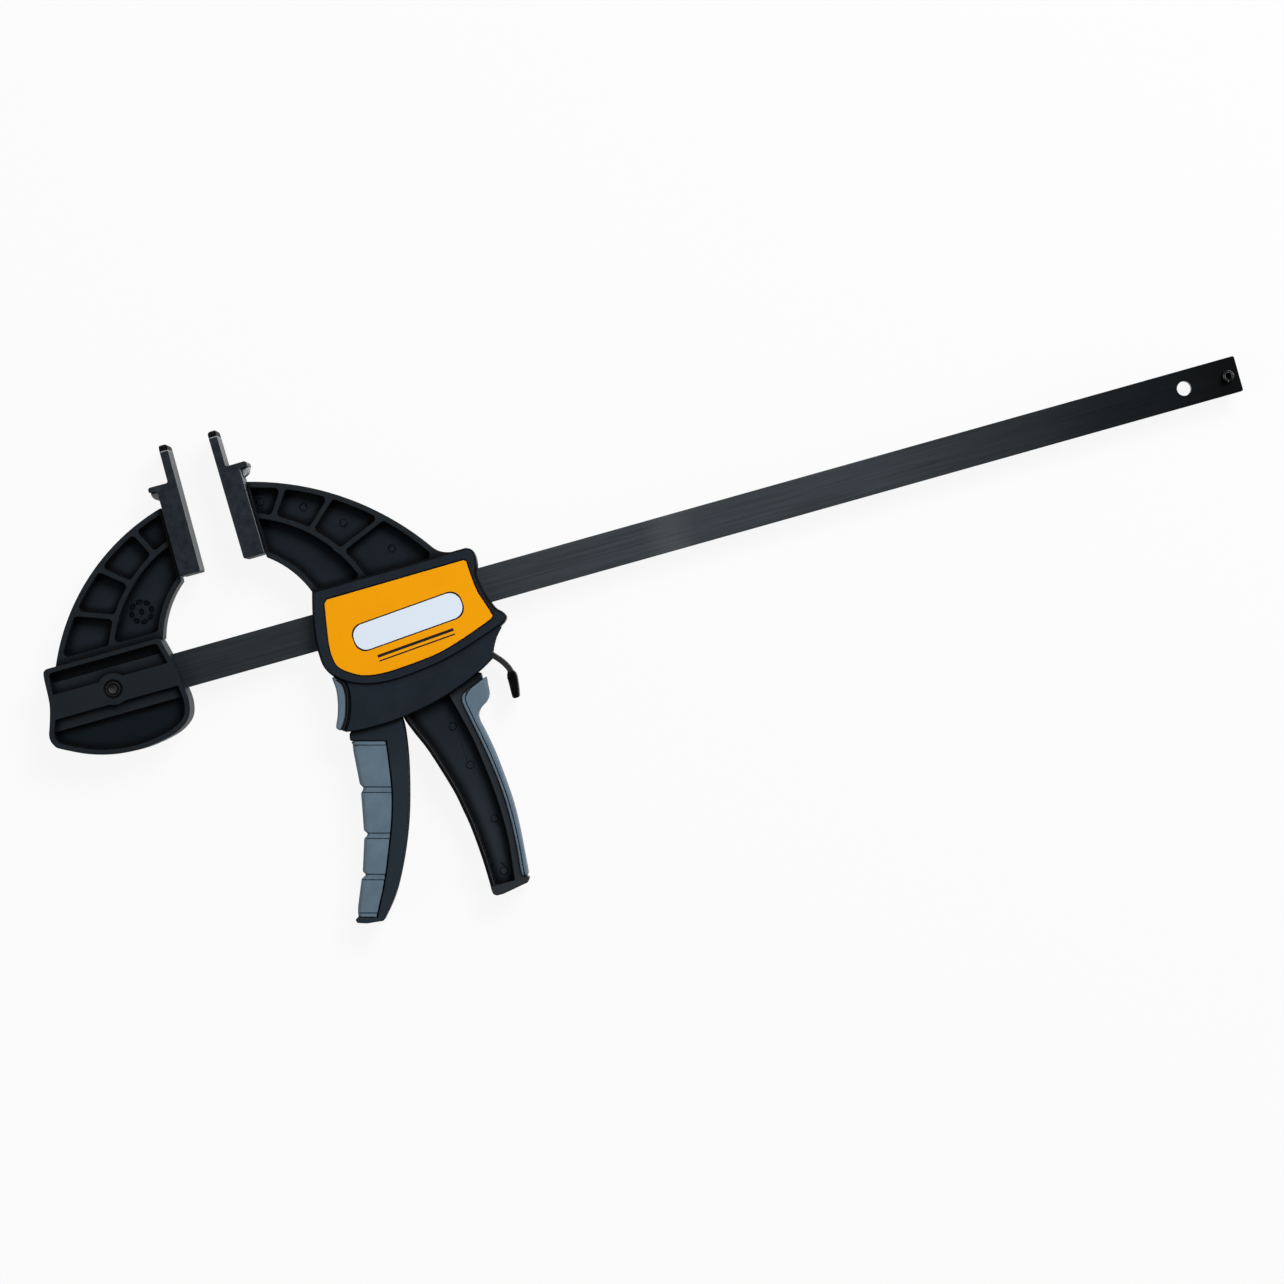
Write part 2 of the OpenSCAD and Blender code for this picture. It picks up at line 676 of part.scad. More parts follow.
module moving_arch() {
    fillet_y = housing_top + fillet_r;
    fillet_x = moving_outer.x + sqrt((moving_outer.z + fillet_r) ^ 2 - (fillet_y - moving_outer.y) ^ 2);
    touch = flat(moving_outer) + unit([fillet_x, fillet_y] - flat(moving_outer)) * moving_outer.z;
    arch(
        moving_outer, moving_inner, moving_middle, moving_ribs, moving_root, housing_top,
        face_x + pad_t + pad_back_play, arch_right
    );
    for (p = arch_ejects) across(p, eject_d, web_t / 2 + eject_h);
    translate([0, 0, -arch_half]) linear_extrude(arch_t) difference() {
        polygon([touch, [touch.x - 4, moving_root], [fillet_x, moving_root], [fillet_x, housing_top]]);
        translate([fillet_x, fillet_y]) circle(r = fillet_r);
    }
}

module main_body() {
    color("#23272b") lift() difference() {
        union() {
            core();
            handle();
            moving_arch();
            at_moving_face() pad_head();
        }
        bar_passage(face_x, arch_right + past, fit);
        for (p = screw_points) across(p, screw_d + 2 * turn_fit, core_half + past);
    }
}

// Side shell with its outer face up
module cover() {
    difference() {
        union() {
            translate([0, 0, core_half]) linear_extrude(housing_half - core_half) polygon(bezel_outline);
            difference() {
                translate([0, 0, core_half]) linear_extrude(skirt_half - core_half) polygon(skirt_outline);
                translate([0, 0, skirt_half - bead_depth]) linear_extrude(bead_depth + past)
                    polygon(strip(shifted(bead_line, bead_w), bead_groove));
            }
        }
        across(pivot, pivot_d + 2 * turn_fit, core_half + pin_seat + fit);
        translate([coil_start - past, 0, 0]) rotate([0, 90, 0])
            cylinder(r = coil_relief, h = mid_wall_x - coil_start + 2 * past);
    }
}

module front_cover() {
    color("#262a2f") lift() difference() {
        cover();
        for (p = screw_points) across(p, screw_d + 2 * turn_fit, screw_tip + fit);
        translate([0, 0, housing_half - label_t]) linear_extrude(label_t + past) polygon(label_outline);
    }
}

module rear_cover() {
    color("#262a2f") lift() mirror([0, 0, 1]) difference() {
        cover();
        for (p = screw_points) {
            across(p, screw_d + 2 * turn_fit, housing_half + past);
            translate([p.x, p.y, housing_half - screw_sink - screw_head_h])
                cylinder(d = screw_head_d + 2 * screw_head_play, h = screw_sink + screw_head_h + past);
        }
    }
}

module cover_screws() {
    head_z = housing_half - screw_sink - screw_head_h;
    color("silver") lift() for (p = screw_points) translate([p.x, p.y, 0]) difference() {
        union() {
            translate([0, 0, -head_z]) cylinder(d = screw_d, h = head_z + screw_tip);
            translate([0, 0, -head_z - screw_head_h]) cylinder(d = screw_head_d, h = screw_head_h);
        }
        for (a = [0, 90]) translate([0, 0, -head_z - screw_head_h]) rotate([0, 0, a])
            cube(screw_cross, center = true);
    }
}

module label() {
    color("#f5a60f") lift() translate([0, 0, housing_half - label_t]) linear_extrude(label_t)
        polygon(inset(label_outline, label_gap));
}

module handle_grip() {
    color("#5e7080") lift() difference() {
        lofted([
            for (p = handle_grip_outer)
                [p.y, lookup(p.y, turned(handle_grip_inner)), p.x, handle_grip_t / 2]
        ], seam_r, palm_r, grip_lip);
        slab(handle_back, handle_t / 2);
        slab(skirt_outline, skirt_half + past);
    }
}

module front_rest() {
    color("#5e7080") lift() difference() {
        lofted([
            for (p = rest_front) [p.y, p.x, lookup(p.y, turned(rest_back)), skirt_half - rest_step]
        ], palm_r, seam_r);
        slab(skirt_outline, skirt_half);
        slab(housing_outline, skirt_half);
        for (s = [-1, 1]) translate([0, 0, s * skirt_half]) slab(strip(bead_line, bead_groove), bead_depth);
    }
}

module moving_pad() {
    color("#2c3136") lift() at_moving_face() pad();
}

// Trigger

module trigger_pin() {
    color("silver") lift() across(pivot, pivot_d, core_half + pin_seat);
}

module trigger_lever() {
    color("#23272b") lift() difference() {
        union() {
            difference() {
                slab(trigger_outline, trigger_half);
                slab(grip_outline, trigger_half + past);
            }
            slab(trigger_outline, trigger_half - grip_skin);
            across(pivot, 2 * arm_r, trigger_half);
            across(nose, 2 * nose_r, trigger_half);
        }
        slab(concat(channel_floor, [[60, 2 * fork_foot - arch_reach], [60, fork_foot]]), channel_half);
        translate([-arch_right / 2, fork_foot, -fork_half]) cube([arch_right, arch_right, 2 * fork_half]);
        across(pivot, pivot_d + 2 * turn_fit, trigger_half + past);
    }
}

module trigger_grip() {
    color("#5e7080") lift() difference() {
        rotate([0, 0, -lean]) lofted(grip_stations, finger_r, seam_r);
        slab(trigger_outline, trigger_half - grip_skin);
    }
}

// Drive and brake

module drive_plate(x) {
    color("gray") lift() difference() {
        translate([x, 0, 0]) rotate([90, 0, 90]) linear_extrude(drive_plate_t) polygon(rounded([
            [plate_foot, -plate_half, plate_r], [plate_top, -plate_half, plate_r],
            [plate_top, plate_half, plate_r], [plate_foot, plate_half, plate_r]
        ]));
        bar_passage(x - past, x + drive_plate_t + past, fit);
    }
}

module drive_plate_front() {
    drive_plate(plate_x);
}

module drive_plate_rear() {
    drive_plate(plate_x + drive_plate_t);
}

module drive_spring() {
    color("silver") lift() coil(coil_r, drive_wire, coil_start, mid_wall_x - fit, drive_turns);
}

// Middle line of the release lever, straight where it holds the bar
lever_side = [cos(brake_tilt), sin(brake_tilt)];
lever_up = [-sin(brake_tilt), cos(brake_tilt)];
lever_foot_at = fulcrum + lever_side * lever_mid + lever_up * lever_foot;
lever_line = concat(
    [fulcrum + lever_side * lever_mid + lever_up * lever_top],
    curve(concat([lever_foot_at], lever_tail))
);
// Edges of the lever's hole measured along the tilted plate from the fulcrum
far_face = lever_mid + lever_t / 2;
hole_low = (-fulcrum.y - bar_h / 2 - brake_play - far_face * sin(brake_tilt)) / cos(brake_tilt);
hole_high = -fulcrum.y + bar_h / 2 + brake_play;

module release_lever() {
    color("gray") lift() difference() {
        slab(strip(lever_line, lever_t), lever_half);
        translate([fulcrum.x, fulcrum.y, 0]) rotate([0, 0, brake_tilt])
            translate([lever_mid - lever_t, hole_low, -bar_t / 2 - fit])
            cube([2 * lever_t, hole_high - hole_low, bar_t + 2 * fit]);
    }
}

module release_tip() {
    n = len(lever_line);
    tail = [for (i = [n - 2 * curve_steps - 1 : n - 1]) lever_line[i]];
    line = concat(tail, [lever_line[n - 1] - [0, tip_cover]]);
    halves = [for (i = [0 : len(line) - 1]) lever_t / 2 + lookup(i, tip_swell)];
    color("#15171a") lift() difference() {
        slab(swollen(line, halves), lever_half + tip_cover);
        slab(strip(lever_line, lever_t), lever_half);
    }
}

module brake_spring() {
    lever_face = fulcrum + lever_side * far_face + lever_up * (brake_axis_y - fulcrum.y);
    color("silver") lift() translate([0, brake_axis_y, 0])
        coil(brake_coil_r, brake_wire, lever_face.x + brake_coil_play, rear_wall_x - fit, brake_turns);
}

// Bar with its fixed jaw

module bar() {
    color("#3a4046") lift() difference() {
        slab(rounded([
            [bar_x, -bar_h / 2, bar_corner_r], [bar_end, -bar_h / 2, bar_corner_r],
            [bar_end, bar_h / 2, bar_corner_r], [bar_x, bar_h / 2, bar_corner_r]
        ]), bar_t / 2);
        for (x = [jaw_pin_x, bar_end - bar_hole_inset]) across([x, 0], bar_hole_d, bar_t);
        across([bar_end - stop_pin_inset, 0], stop_pin_d, bar_t);
    }
}

// Layer of the jaw's base, with pockets above and below a band that holds the pin
module base_layer(half, band) {
    translate([0, 0, -half]) linear_extrude(2 * half) difference() {
        polygon(base_outline);
        difference() {
            offset(r = pocket_r, $fn = pocket_fn) offset(delta = -base_rim - pocket_r)
                polygon(base_outline);
            translate([-arch_reach / 2, band[0]]) square([arch_reach, band[1] - band[0]]);
            circle(r = base_boss_r);
        }
    }
}

module fixed_jaw() {
    color("#23272b") lift() difference() {
        union() {
            translate([jaw_pin_x, 0, 0]) {
                slab(base_outline, base_floor_half);
                base_layer(base_ledge_half, base_ledge);
                base_layer(base_t / 2, base_band);
                arch(
                    fixed_outer, fixed_inner, fixed_middle, fixed_ribs, fixed_root, root_border,
                    base_left, pin_to_face - pad_t - pad_back_play
                );
            }
            at_fixed_face() pad_head();
        }
        bar_passage(bar_x - fit, fixed_face_x, turn_fit);
        across([jaw_pin_x, 0], bar_hole_d, base_t);
        for (s = [-1, 1]) translate([jaw_pin_x, 0, s * base_t / 2])
            cylinder(d = bar_hole_d + 2 * pin_groove, h = 2 * pin_groove, center = true);
    }
}

module fixed_jaw_pin() {
    half = base_t / 2 - pin_sink;
    color("#3a4046") lift() translate([jaw_pin_x, 0, 0]) difference() {
        cylinder(d = bar_hole_d, h = 2 * half, center = true);
        for (s = [-1, 1]) translate([0, 0, s * half])
            cylinder(d = pin_bore_d, h = 2 * pin_bore_depth, center = true);
    }
}

module fixed_pad() {
    color("#2c3136") lift() at_fixed_face() pad();
}

module stop_pin() {
    slot = 1.2;
    bore_d = 0.6 * stop_pin_d;
    color("silver") lift() translate([bar_end - stop_pin_inset, 0, 0]) difference() {
        cylinder(d = stop_pin_d, h = stop_pin_len, center = true);
        cylinder(d = bore_d, h = stop_pin_len + past, center = true);
        translate([0, -stop_pin_d / 2, 0]) cube([slot, stop_pin_d, stop_pin_len + past], center = true);
    }
}

main_body();
front_cover();
rear_cover();
cover_screws();
label();
handle_grip();
front_rest();
moving_pad();
trigger_pin();
trigger_lever();
trigger_grip();
drive_plate_front();
drive_plate_rear();
drive_spring();
release_lever();
release_tip();
brake_spring();
bar();
fixed_jaw();
fixed_jaw_pin();
fixed_pad();
stop_pin();
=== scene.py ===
import math
import bmesh
import bpy
from mathutils import Matrix, Vector


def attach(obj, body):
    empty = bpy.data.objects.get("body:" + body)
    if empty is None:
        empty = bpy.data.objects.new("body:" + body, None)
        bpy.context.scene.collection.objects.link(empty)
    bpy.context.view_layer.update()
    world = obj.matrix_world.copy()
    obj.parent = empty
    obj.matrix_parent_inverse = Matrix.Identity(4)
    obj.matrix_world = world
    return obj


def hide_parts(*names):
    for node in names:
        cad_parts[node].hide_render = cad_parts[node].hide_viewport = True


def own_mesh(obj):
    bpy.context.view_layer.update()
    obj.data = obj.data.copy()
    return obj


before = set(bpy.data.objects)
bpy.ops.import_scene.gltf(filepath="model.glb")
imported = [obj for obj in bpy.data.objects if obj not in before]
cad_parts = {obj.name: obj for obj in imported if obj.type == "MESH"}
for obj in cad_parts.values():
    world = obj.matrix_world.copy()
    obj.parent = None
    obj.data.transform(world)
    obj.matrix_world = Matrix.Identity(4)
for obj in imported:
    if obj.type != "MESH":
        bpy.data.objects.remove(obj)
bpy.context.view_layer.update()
print("frame loaded:", len(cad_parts), "nodes")

mm = 0.001
scene = bpy.context.scene
scene.view_settings.view_transform = "Standard"


# Camera, straight down on the clamp, turned so that the bar climbs to the right

photoView = {
    "centre": (153.2, -53.5),  # point under the middle of the picture, mm
    "distance": 2700,  # mm
    "width": 706.2,  # what the frame takes in at the bar, mm
    "level": 15.5,  # height of the bar's middle, mm
    "roll": 15.7,  # climb of the bar, degrees
    "sensor": 36,  # mm
    "clipEnd": 50,  # m
}


def placeCamera(v):
    data = bpy.data.cameras.new("photoCamera")
    data.sensor_width = v["sensor"]
    data.lens = v["sensor"] * v["distance"] / v["width"]
    data.clip_end = v["clipEnd"]
    camera = bpy.data.objects.new("photoCamera", data)
    scene.collection.objects.link(camera)
    camera.location = (v["centre"][0] * mm, v["centre"][1] * mm, (v["distance"] + v["level"]) * mm)
    camera.rotation_euler = (0, 0, -math.radians(v["roll"]))
    scene.camera = camera


placeCamera(photoView)


# Helpers that make meshes and shader nodes

def meshObject(bm, name, finish):
    mesh = bpy.data.meshes.new(name)
    bm.to_mesh(mesh)
    bm.free()
    mesh.materials.append(finish)
    made = bpy.data.objects.new(name, mesh)
    scene.collection.objects.link(made)
    return made


def node(tree, kind, **values):
    made = tree.nodes.new(kind)
    for key, value in values.items():
        setattr(made, key, value)
    return made


def feed(tree, socket, value):
    # an output is linked, a plain value is set
    if isinstance(value, bpy.types.NodeSocket):
        tree.links.new(value, socket)
    else:
        socket.default_value = value


def calc(tree, kind, *values):
    made = node(tree, "ShaderNodeMath", operation=kind)
    for socket, value in zip(made.inputs, values):
        feed(tree, socket, value)
    return made.outputs[0]


def spread(tree, source, low, high, fromLow=0.3, fromHigh=0.7):
    ramp = node(tree, "ShaderNodeMapRange")
    given = {"Value": source, "From Min": fromLow, "From Max": fromHigh, "To Min": low, "To Max": high}
    for key, value in given.items():
        feed(tree, ramp.inputs[key], value)
    return ramp.outputs[0]


def splitOf(tree, output):
    # parts of the coordinates or of the normals
    where = node(tree, "ShaderNodeTexCoord")
    split = node(tree, "ShaderNodeSeparateXYZ")
    tree.links.new(where.outputs[output], split.inputs[0])
    return split.outputs


def tinted(tree, under, mask, color):
    mix = node(tree, "ShaderNodeMix", data_type="RGBA")
    for key, value in (("A", under), ("B", color), ("Factor", mask)):
        feed(tree, mix.inputs[key], value)
    return mix.outputs["Result"]


# Studio: pale floor, even dome, soft key from the upper right and a low rim light from the right

studio = {
    "floorSize": 30,  # m
    "floorColor": (0.7, 0.7, 0.7, 1),
    "floorWhite": 0.9,  # share of plain white that the lens sees on the floor
    "domeSide": 0.27,
    "domeTop": 0.24,
    "domeSpan": (0.05, 0.9),  # heights on the dome between which the side turns into the top
    "target": (0.12, -0.03, 0),
    "lamps": [  # direction in the picture's turn, tilt from upright, distance, size, watts
        {"name": "keyLamp", "turn": 58, "tilt": 38, "far": 2.4, "size": 1.2, "watts": 48},
        {"name": "fillLamp", "turn": 190, "tilt": 42, "far": 2.6, "size": 1.6, "watts": 9},
        {"name": "rimLamp", "turn": 0, "tilt": 74, "far": 2.4, "size": 0.9, "watts": 15},
    ],
}


def buildFloor(s):
    # grey for the light that it throws back, nearly white for the lens
    mat = bpy.data.materials.new("studioFloor")
    mat.use_nodes = True
    tree = mat.node_tree
    tree.nodes.clear()
    out = node(tree, "ShaderNodeOutputMaterial")
    lit = node(tree, "ShaderNodeBsdfDiffuse")
    lit.inputs["Color"].default_value = s["floorColor"]
    white = node(tree, "ShaderNodeEmission")
    seen = node(tree, "ShaderNodeLightPath").outputs
    direct = calc(tree, "MAXIMUM", seen["Is Camera Ray"], seen["Is Glossy Ray"])
    anyRay = calc(tree, "MAXIMUM", direct, seen["Is Transmission Ray"])
    mix = node(tree, "ShaderNodeMixShader")
    link = tree.links.new
    link(calc(tree, "MULTIPLY", anyRay, s["floorWhite"]), mix.inputs[0])
    link(lit.outputs[0], mix.inputs[1])
    link(white.outputs[0], mix.inputs[2])
    link(mix.outputs[0], out.inputs["Surface"])
    bm = bmesh.new()
    bmesh.ops.create_grid(bm, x_segments=1, y_segments=1, size=s["floorSize"] / 2)
    floor = meshObject(bm, "studioFloor", mat)


def buildDome(s):
    world = bpy.data.worlds.new("studioDome")
    scene.world = world
    world.use_nodes = True
    tree = world.node_tree
    tree.nodes.clear()
    out = node(tree, "ShaderNodeOutputWorld")
    sky = node(tree, "ShaderNodeBackground")
    shade = spread(tree, splitOf(tree, "Generated")["Z"], s["domeSide"], s["domeTop"], *s["domeSpan"])
    shade.node.interpolation_type = "SMOOTHSTEP"
    tree.links.new(shade, sky.inputs["Color"])
    tree.links.new(sky.outputs[0], out.inputs["Surface"])


def buildLamps(s):
    aim = Vector(s["target"])
    for lamp in s["lamps"]:
        turn = math.radians(lamp["turn"] - photoView["roll"])
        tilt = math.radians(lamp["tilt"])
        away = Vector((math.cos(turn) * math.sin(tilt), math.sin(turn) * math.sin(tilt), math.cos(tilt)))
        data = bpy.data.lights.new(lamp["name"], "AREA")
        data.shape = "DISK"
        data.size = lamp["size"]
        data.energy = lamp["watts"]
        light = bpy.data.objects.new(lamp["name"], data)
        scene.collection.objects.link(light)
        light.location = aim + away * lamp["far"]
        light.rotation_euler = (-away).to_track_quat("-Z", "Y").to_euler()


buildFloor(studio)
buildDome(studio)
buildLamps(studio)
print("studio ready")


# Shared surface effects

colorSockets = ("Color", "WearAndHighlight")  # all other sockets of the groups are plain numbers
grainSetup = {"fineDetail": 3, "slowDetail": 5, "slowRough": 0.6, "fineShare": 0.3}
edgeTintSetup = {"patchDetail": 4, "patchSpan": (0.35, 0.75)}
streakSetup = {  # the smaller the stretch, the longer the marks along the bar
    "lineStretch": 0.02, "lineDetail": 4,
    "scuffStretch": 0.35, "scuffDetail": 6, "scuffRough": 0.65, "scuffSpan": (0.5, 0.78),
}


def newGroup(name, inputs, outputs):
    group = bpy.data.node_groups.new(name, "ShaderNodeTree")
    for way, labels in (("INPUT", inputs), ("OUTPUT", outputs)):
        for label in labels:
            kind = "NodeSocketColor" if label in colorSockets else "NodeSocketFloat"
            group.interface.new_socket(label, in_out=way, socket_type=kind)
    return group, node(group, "NodeGroupInput"), node(group, "NodeGroupOutput")


def noise(tree, place, scale, detail, rough=0.5):
    made = node(tree, "ShaderNodeTexNoise")
    for key, value in (("Vector", place), ("Scale", scale), ("Detail", detail), ("Roughness", rough)):
        feed(tree, made.inputs[key], value)
    return made.outputs["Fac"]


def stretched(tree, place, share):
    along = node(tree, "ShaderNodeMapping")
    along.inputs["Scale"].default_value = (share, 1, 1)
    tree.links.new(place, along.inputs["Vector"])
    return along.outputs[0]


def buildGrain(g):
    # fine spark texture from the mould, with a slow cloudiness over it
    group, given, made = newGroup("mouldGrain", ["Grain", "Cloud"], ["Height", "Shade"])
    place = node(group, "ShaderNodeTexCoord").outputs["Object"]
    fine = noise(group, place, given.outputs["Grain"], g["fineDetail"])
    slow = noise(group, place, given.outputs["Cloud"], g["slowDetail"], g["slowRough"])
    feed(group, made.inputs["Height"], fine)
    feed(group, made.inputs["Shade"], calc(group, "MULTIPLY_ADD", fine, g["fineShare"], slow))
    return group


def buildEdgeTint(w):
    # rounded edges are tinted a little paler, more in some places than in others: rubbed wear on the nylon,
    # and on the bar and the stop pin a painted highlight
    group, given, made = newGroup("roundedEdgeTint", ["Color", "WearAndHighlight", "Amount", "Patch"], ["Color"])
    edge = node(group, "ShaderNodeAttribute", attribute_name="roundedEdgeTint").outputs["Fac"]
    place = node(group, "ShaderNodeTexCoord").outputs["Object"]
    patch = noise(group, place, given.outputs["Patch"], w["patchDetail"])
    product = calc(group, "MULTIPLY", edge, spread(group, patch, 0, 1, *w["patchSpan"]))
    mask = calc(group, "MULTIPLY", product, given.outputs["Amount"])
    feed(group, made.inputs["Color"], tinted(group, given.outputs["Color"], mask, given.outputs["WearAndHighlight"]))
    return group


def buildStreaks(s):
    # drawn lines along the bar, with scuffs where the housing has slid
    group, given, made = newGroup("drawnStreaks", ["Fine", "Scuff"], ["Lines", "Scuffs"])
    place = node(group, "ShaderNodeTexCoord").outputs["Object"]
    along = stretched(group, place, s["lineStretch"])
    lines = noise(group, along, given.outputs["Fine"], s["lineDetail"])
    drag = stretched(group, place, s["scuffStretch"])
    scuff = noise(group, drag, given.outputs["Scuff"], s["scuffDetail"], s["scuffRough"])
    feed(group, made.inputs["Lines"], lines)
    feed(group, made.inputs["Scuffs"], spread(group, scuff, 0, 1, *s["scuffSpan"]))
    return group


mouldGrain = buildGrain(grainSetup)
roundedEdgeTint = buildEdgeTint(edgeTintSetup)
drawnStreaks = buildStreaks(streakSetup)


def newMaterial(name, constants):
    mat = bpy.data.materials.new(name)
    mat.use_nodes = True
    tree = mat.node_tree
    shader = tree.nodes["Principled BSDF"]
    for key, value in constants.items():
        shader.inputs[key].default_value = value
    return mat, tree, shader


def placeGroup(tree, group, values):
    made = node(tree, "ShaderNodeGroup", node_tree=group)
    for key, value in values.items():
        feed(tree, made.inputs[key], value)
    return made.outputs


def tintedEdges(tree, color, m):
    given = {"Color": color, "WearAndHighlight": m["edgeWearAndHighlight"], "Amount": m["edgeWearAndHighlightShare"], "Patch": m["patch"]}
    return placeGroup(tree, roundedEdgeTint, given)["Color"]


def wired(tree, shader, color, gloss, height, m):
    # colour, gloss and relief go into the shader
    bump = node(tree, "ShaderNodeBump")
    bump.inputs["Strength"].default_value = m["relief"]
    bump.inputs["Distance"].default_value = m["reliefDepth"]
    link = tree.links.new
    link(height, bump.inputs["Height"])
    link(color, shader.inputs["Base Color"])
    link(gloss, shader.inputs["Roughness"])
    link(bump.outputs["Normal"], shader.inputs["Normal"])


def facing(tree, axis):
    return calc(tree, "ABSOLUTE", splitOf(tree, "Normal")[axis])


def awayFrom(tree, source, middle):
    return calc(tree, "ABSOLUTE", calc(tree, "SUBTRACT", source, middle * mm))


def between(tree, source, low, high):
    above = calc(tree, "GREATER_THAN", source, low * mm)
    return calc(tree, "MULTIPLY", above, calc(tree, "LESS_THAN", source, high * mm))


# Moulded finishes

cloudSpan = {"tint": (0.45, 0.85), "gloss": (0.4, 0.9)}  # parts of the cloudiness that each follows
shadeSamples = 6


def paintedOcclusionShade(tree, s):
    # painted shade from ambient occlusion, deep in the corners and along the seams
    shut = node(tree, "ShaderNodeAmbientOcclusion", samples=shadeSamples)
    shut.inputs["Distance"].default_value = s["reach"] * mm
    return spread(tree, shut.outputs["AO"], 1, 0, s["shut"], s["open"])


def paintedShadeByFacing(tree, w):
    # painted shade by facing: follows how far a face looks along an axis, and may leave out the faces
    # square to that; rounded edges and the pads' tongue ends are painted dark this way
    turned = facing(tree, w["axis"])
    mask = spread(tree, turned, *w["range"], *w["from"])
    if "clear" in w:
        mask = calc(tree, "MULTIPLY", mask, spread(tree, turned, 0, 1, *w["clear"]))
    return mask


def zoneMask(tree, z):
    # a box in the piece's own coordinates, with heights from the bar's middle, that may fade along Y
    place = splitOf(tree, "Object")
    sources = {"x": place["X"], "y": place["Y"], "height": awayFrom(tree, place["Z"], photoView["level"])}
    mask = z["share"]
    for key, source in sources.items():
        if key in z:
            mask = calc(tree, "MULTIPLY", between(tree, source, *z[key]), mask)
    if "fade" in z:
        start, end = z["fade"]
        mask = calc(tree, "MULTIPLY", mask, spread(tree, place["Y"], 0, 1, start * mm, end * mm))
    if "facing" in z:
        mask = calc(tree, "MULTIPLY", mask, calc(tree, "GREATER_THAN", facing(tree, "Z"), z["facing"]))
    return mask


def paintPadLight(tree, color, grain, s):
    # painted light and shade on the pads: faces turned along X painted paler as if lit, the gussets behind
    # the pads painted with a pale speckled sheen, a painted highlight line and painted black shade at the
    # tongue ends
    place = splitOf(tree, "Object")
    behind = calc(tree, "GREATER_THAN", awayFrom(tree, place["X"], s["middle"]), s["gussetFrom"] * mm)
    below = calc(tree, "LESS_THAN", place["Y"], s["gussetTop"] * mm)
    gusset = calc(tree, "MULTIPLY", behind, below)
    speckledSheen = calc(tree, "MULTIPLY", gusset, spread(tree, grain, *s["gussetRange"]))
    sideways = spread(tree, facing(tree, "X"), 0, 1, *s["faceTurn"])
    litFace = calc(tree, "MULTIPLY", sideways, spread(tree, grain, *s["faceRange"]))
    line = calc(tree, "GREATER_THAN", place["Y"], (s["tipFrom"] - s["tipHighlightWidth"]) * mm)
    tipShade = calc(tree, "GREATER_THAN", place["Y"], s["tipFrom"] * mm)
    color = tinted(tree, tinted(tree, color, litFace, s["face"]), speckledSheen, s["gusset"])
    color = tinted(tree, color, calc(tree, "MULTIPLY", line, s["tipHighlightShare"]), s["gusset"])
    return tinted(tree, color, tipShade, paintedShadeBlack)


def mouldedMaterial(name, m):
    # nylon or rubber: cloudy tint, zones of other tones, some of them painted light and shade, painted
    # light on the pads, rubbed edges, painted shade on rounded edges, rims, corners and seams, a painted
    # ridge highlight, grain in gloss and relief
    mat, tree, shader = newMaterial(name, m["constants"])
    grain = placeGroup(tree, mouldGrain, {"Grain": m["grain"], "Cloud": m["cloud"]})
    color = tinted(tree, m["dark"], spread(tree, grain["Shade"], 0, 1, *cloudSpan["tint"]), m["pale"])
    for zone in m.get("zones", []):
        color = tinted(tree, color, zoneMask(tree, zone), zone["color"])
    # painted light and shade on the pads
    if "paintedPadLight" in m:
        color = paintPadLight(tree, color, grain["Height"], m["paintedPadLight"])
    color = tintedEdges(tree, color, m)
    # painted shade on rounded edges, by how they face
    if "walls" in m:
        color = tinted(tree, color, paintedShadeByFacing(tree, m["walls"]), m["walls"]["color"])
    # rounded rims painted dark as shade
    if "paintedRimShade" in m:
        rim = node(tree, "ShaderNodeAttribute", attribute_name="roundedEdgeTint").outputs["Fac"]
        color = tinted(tree, color, rim, m["paintedRimShade"])
    # painted shade in corners and along seams, from ambient occlusion
    if "seams" in m:
        color = tinted(tree, color, paintedOcclusionShade(tree, m["seams"]), m["seams"]["color"])
    # painted highlight on the handle flange's ridge
    if "paintedRidgeHighlight" in m:
        color = tinted(tree, color, zoneMask(tree, m["paintedRidgeHighlight"]), m["paintedRidgeHighlight"]["color"])
    gloss = spread(tree, grain["Shade"], *m["gloss"], *cloudSpan["gloss"])
    wired(tree, shader, color, gloss, grain["Height"], m)
    return mat


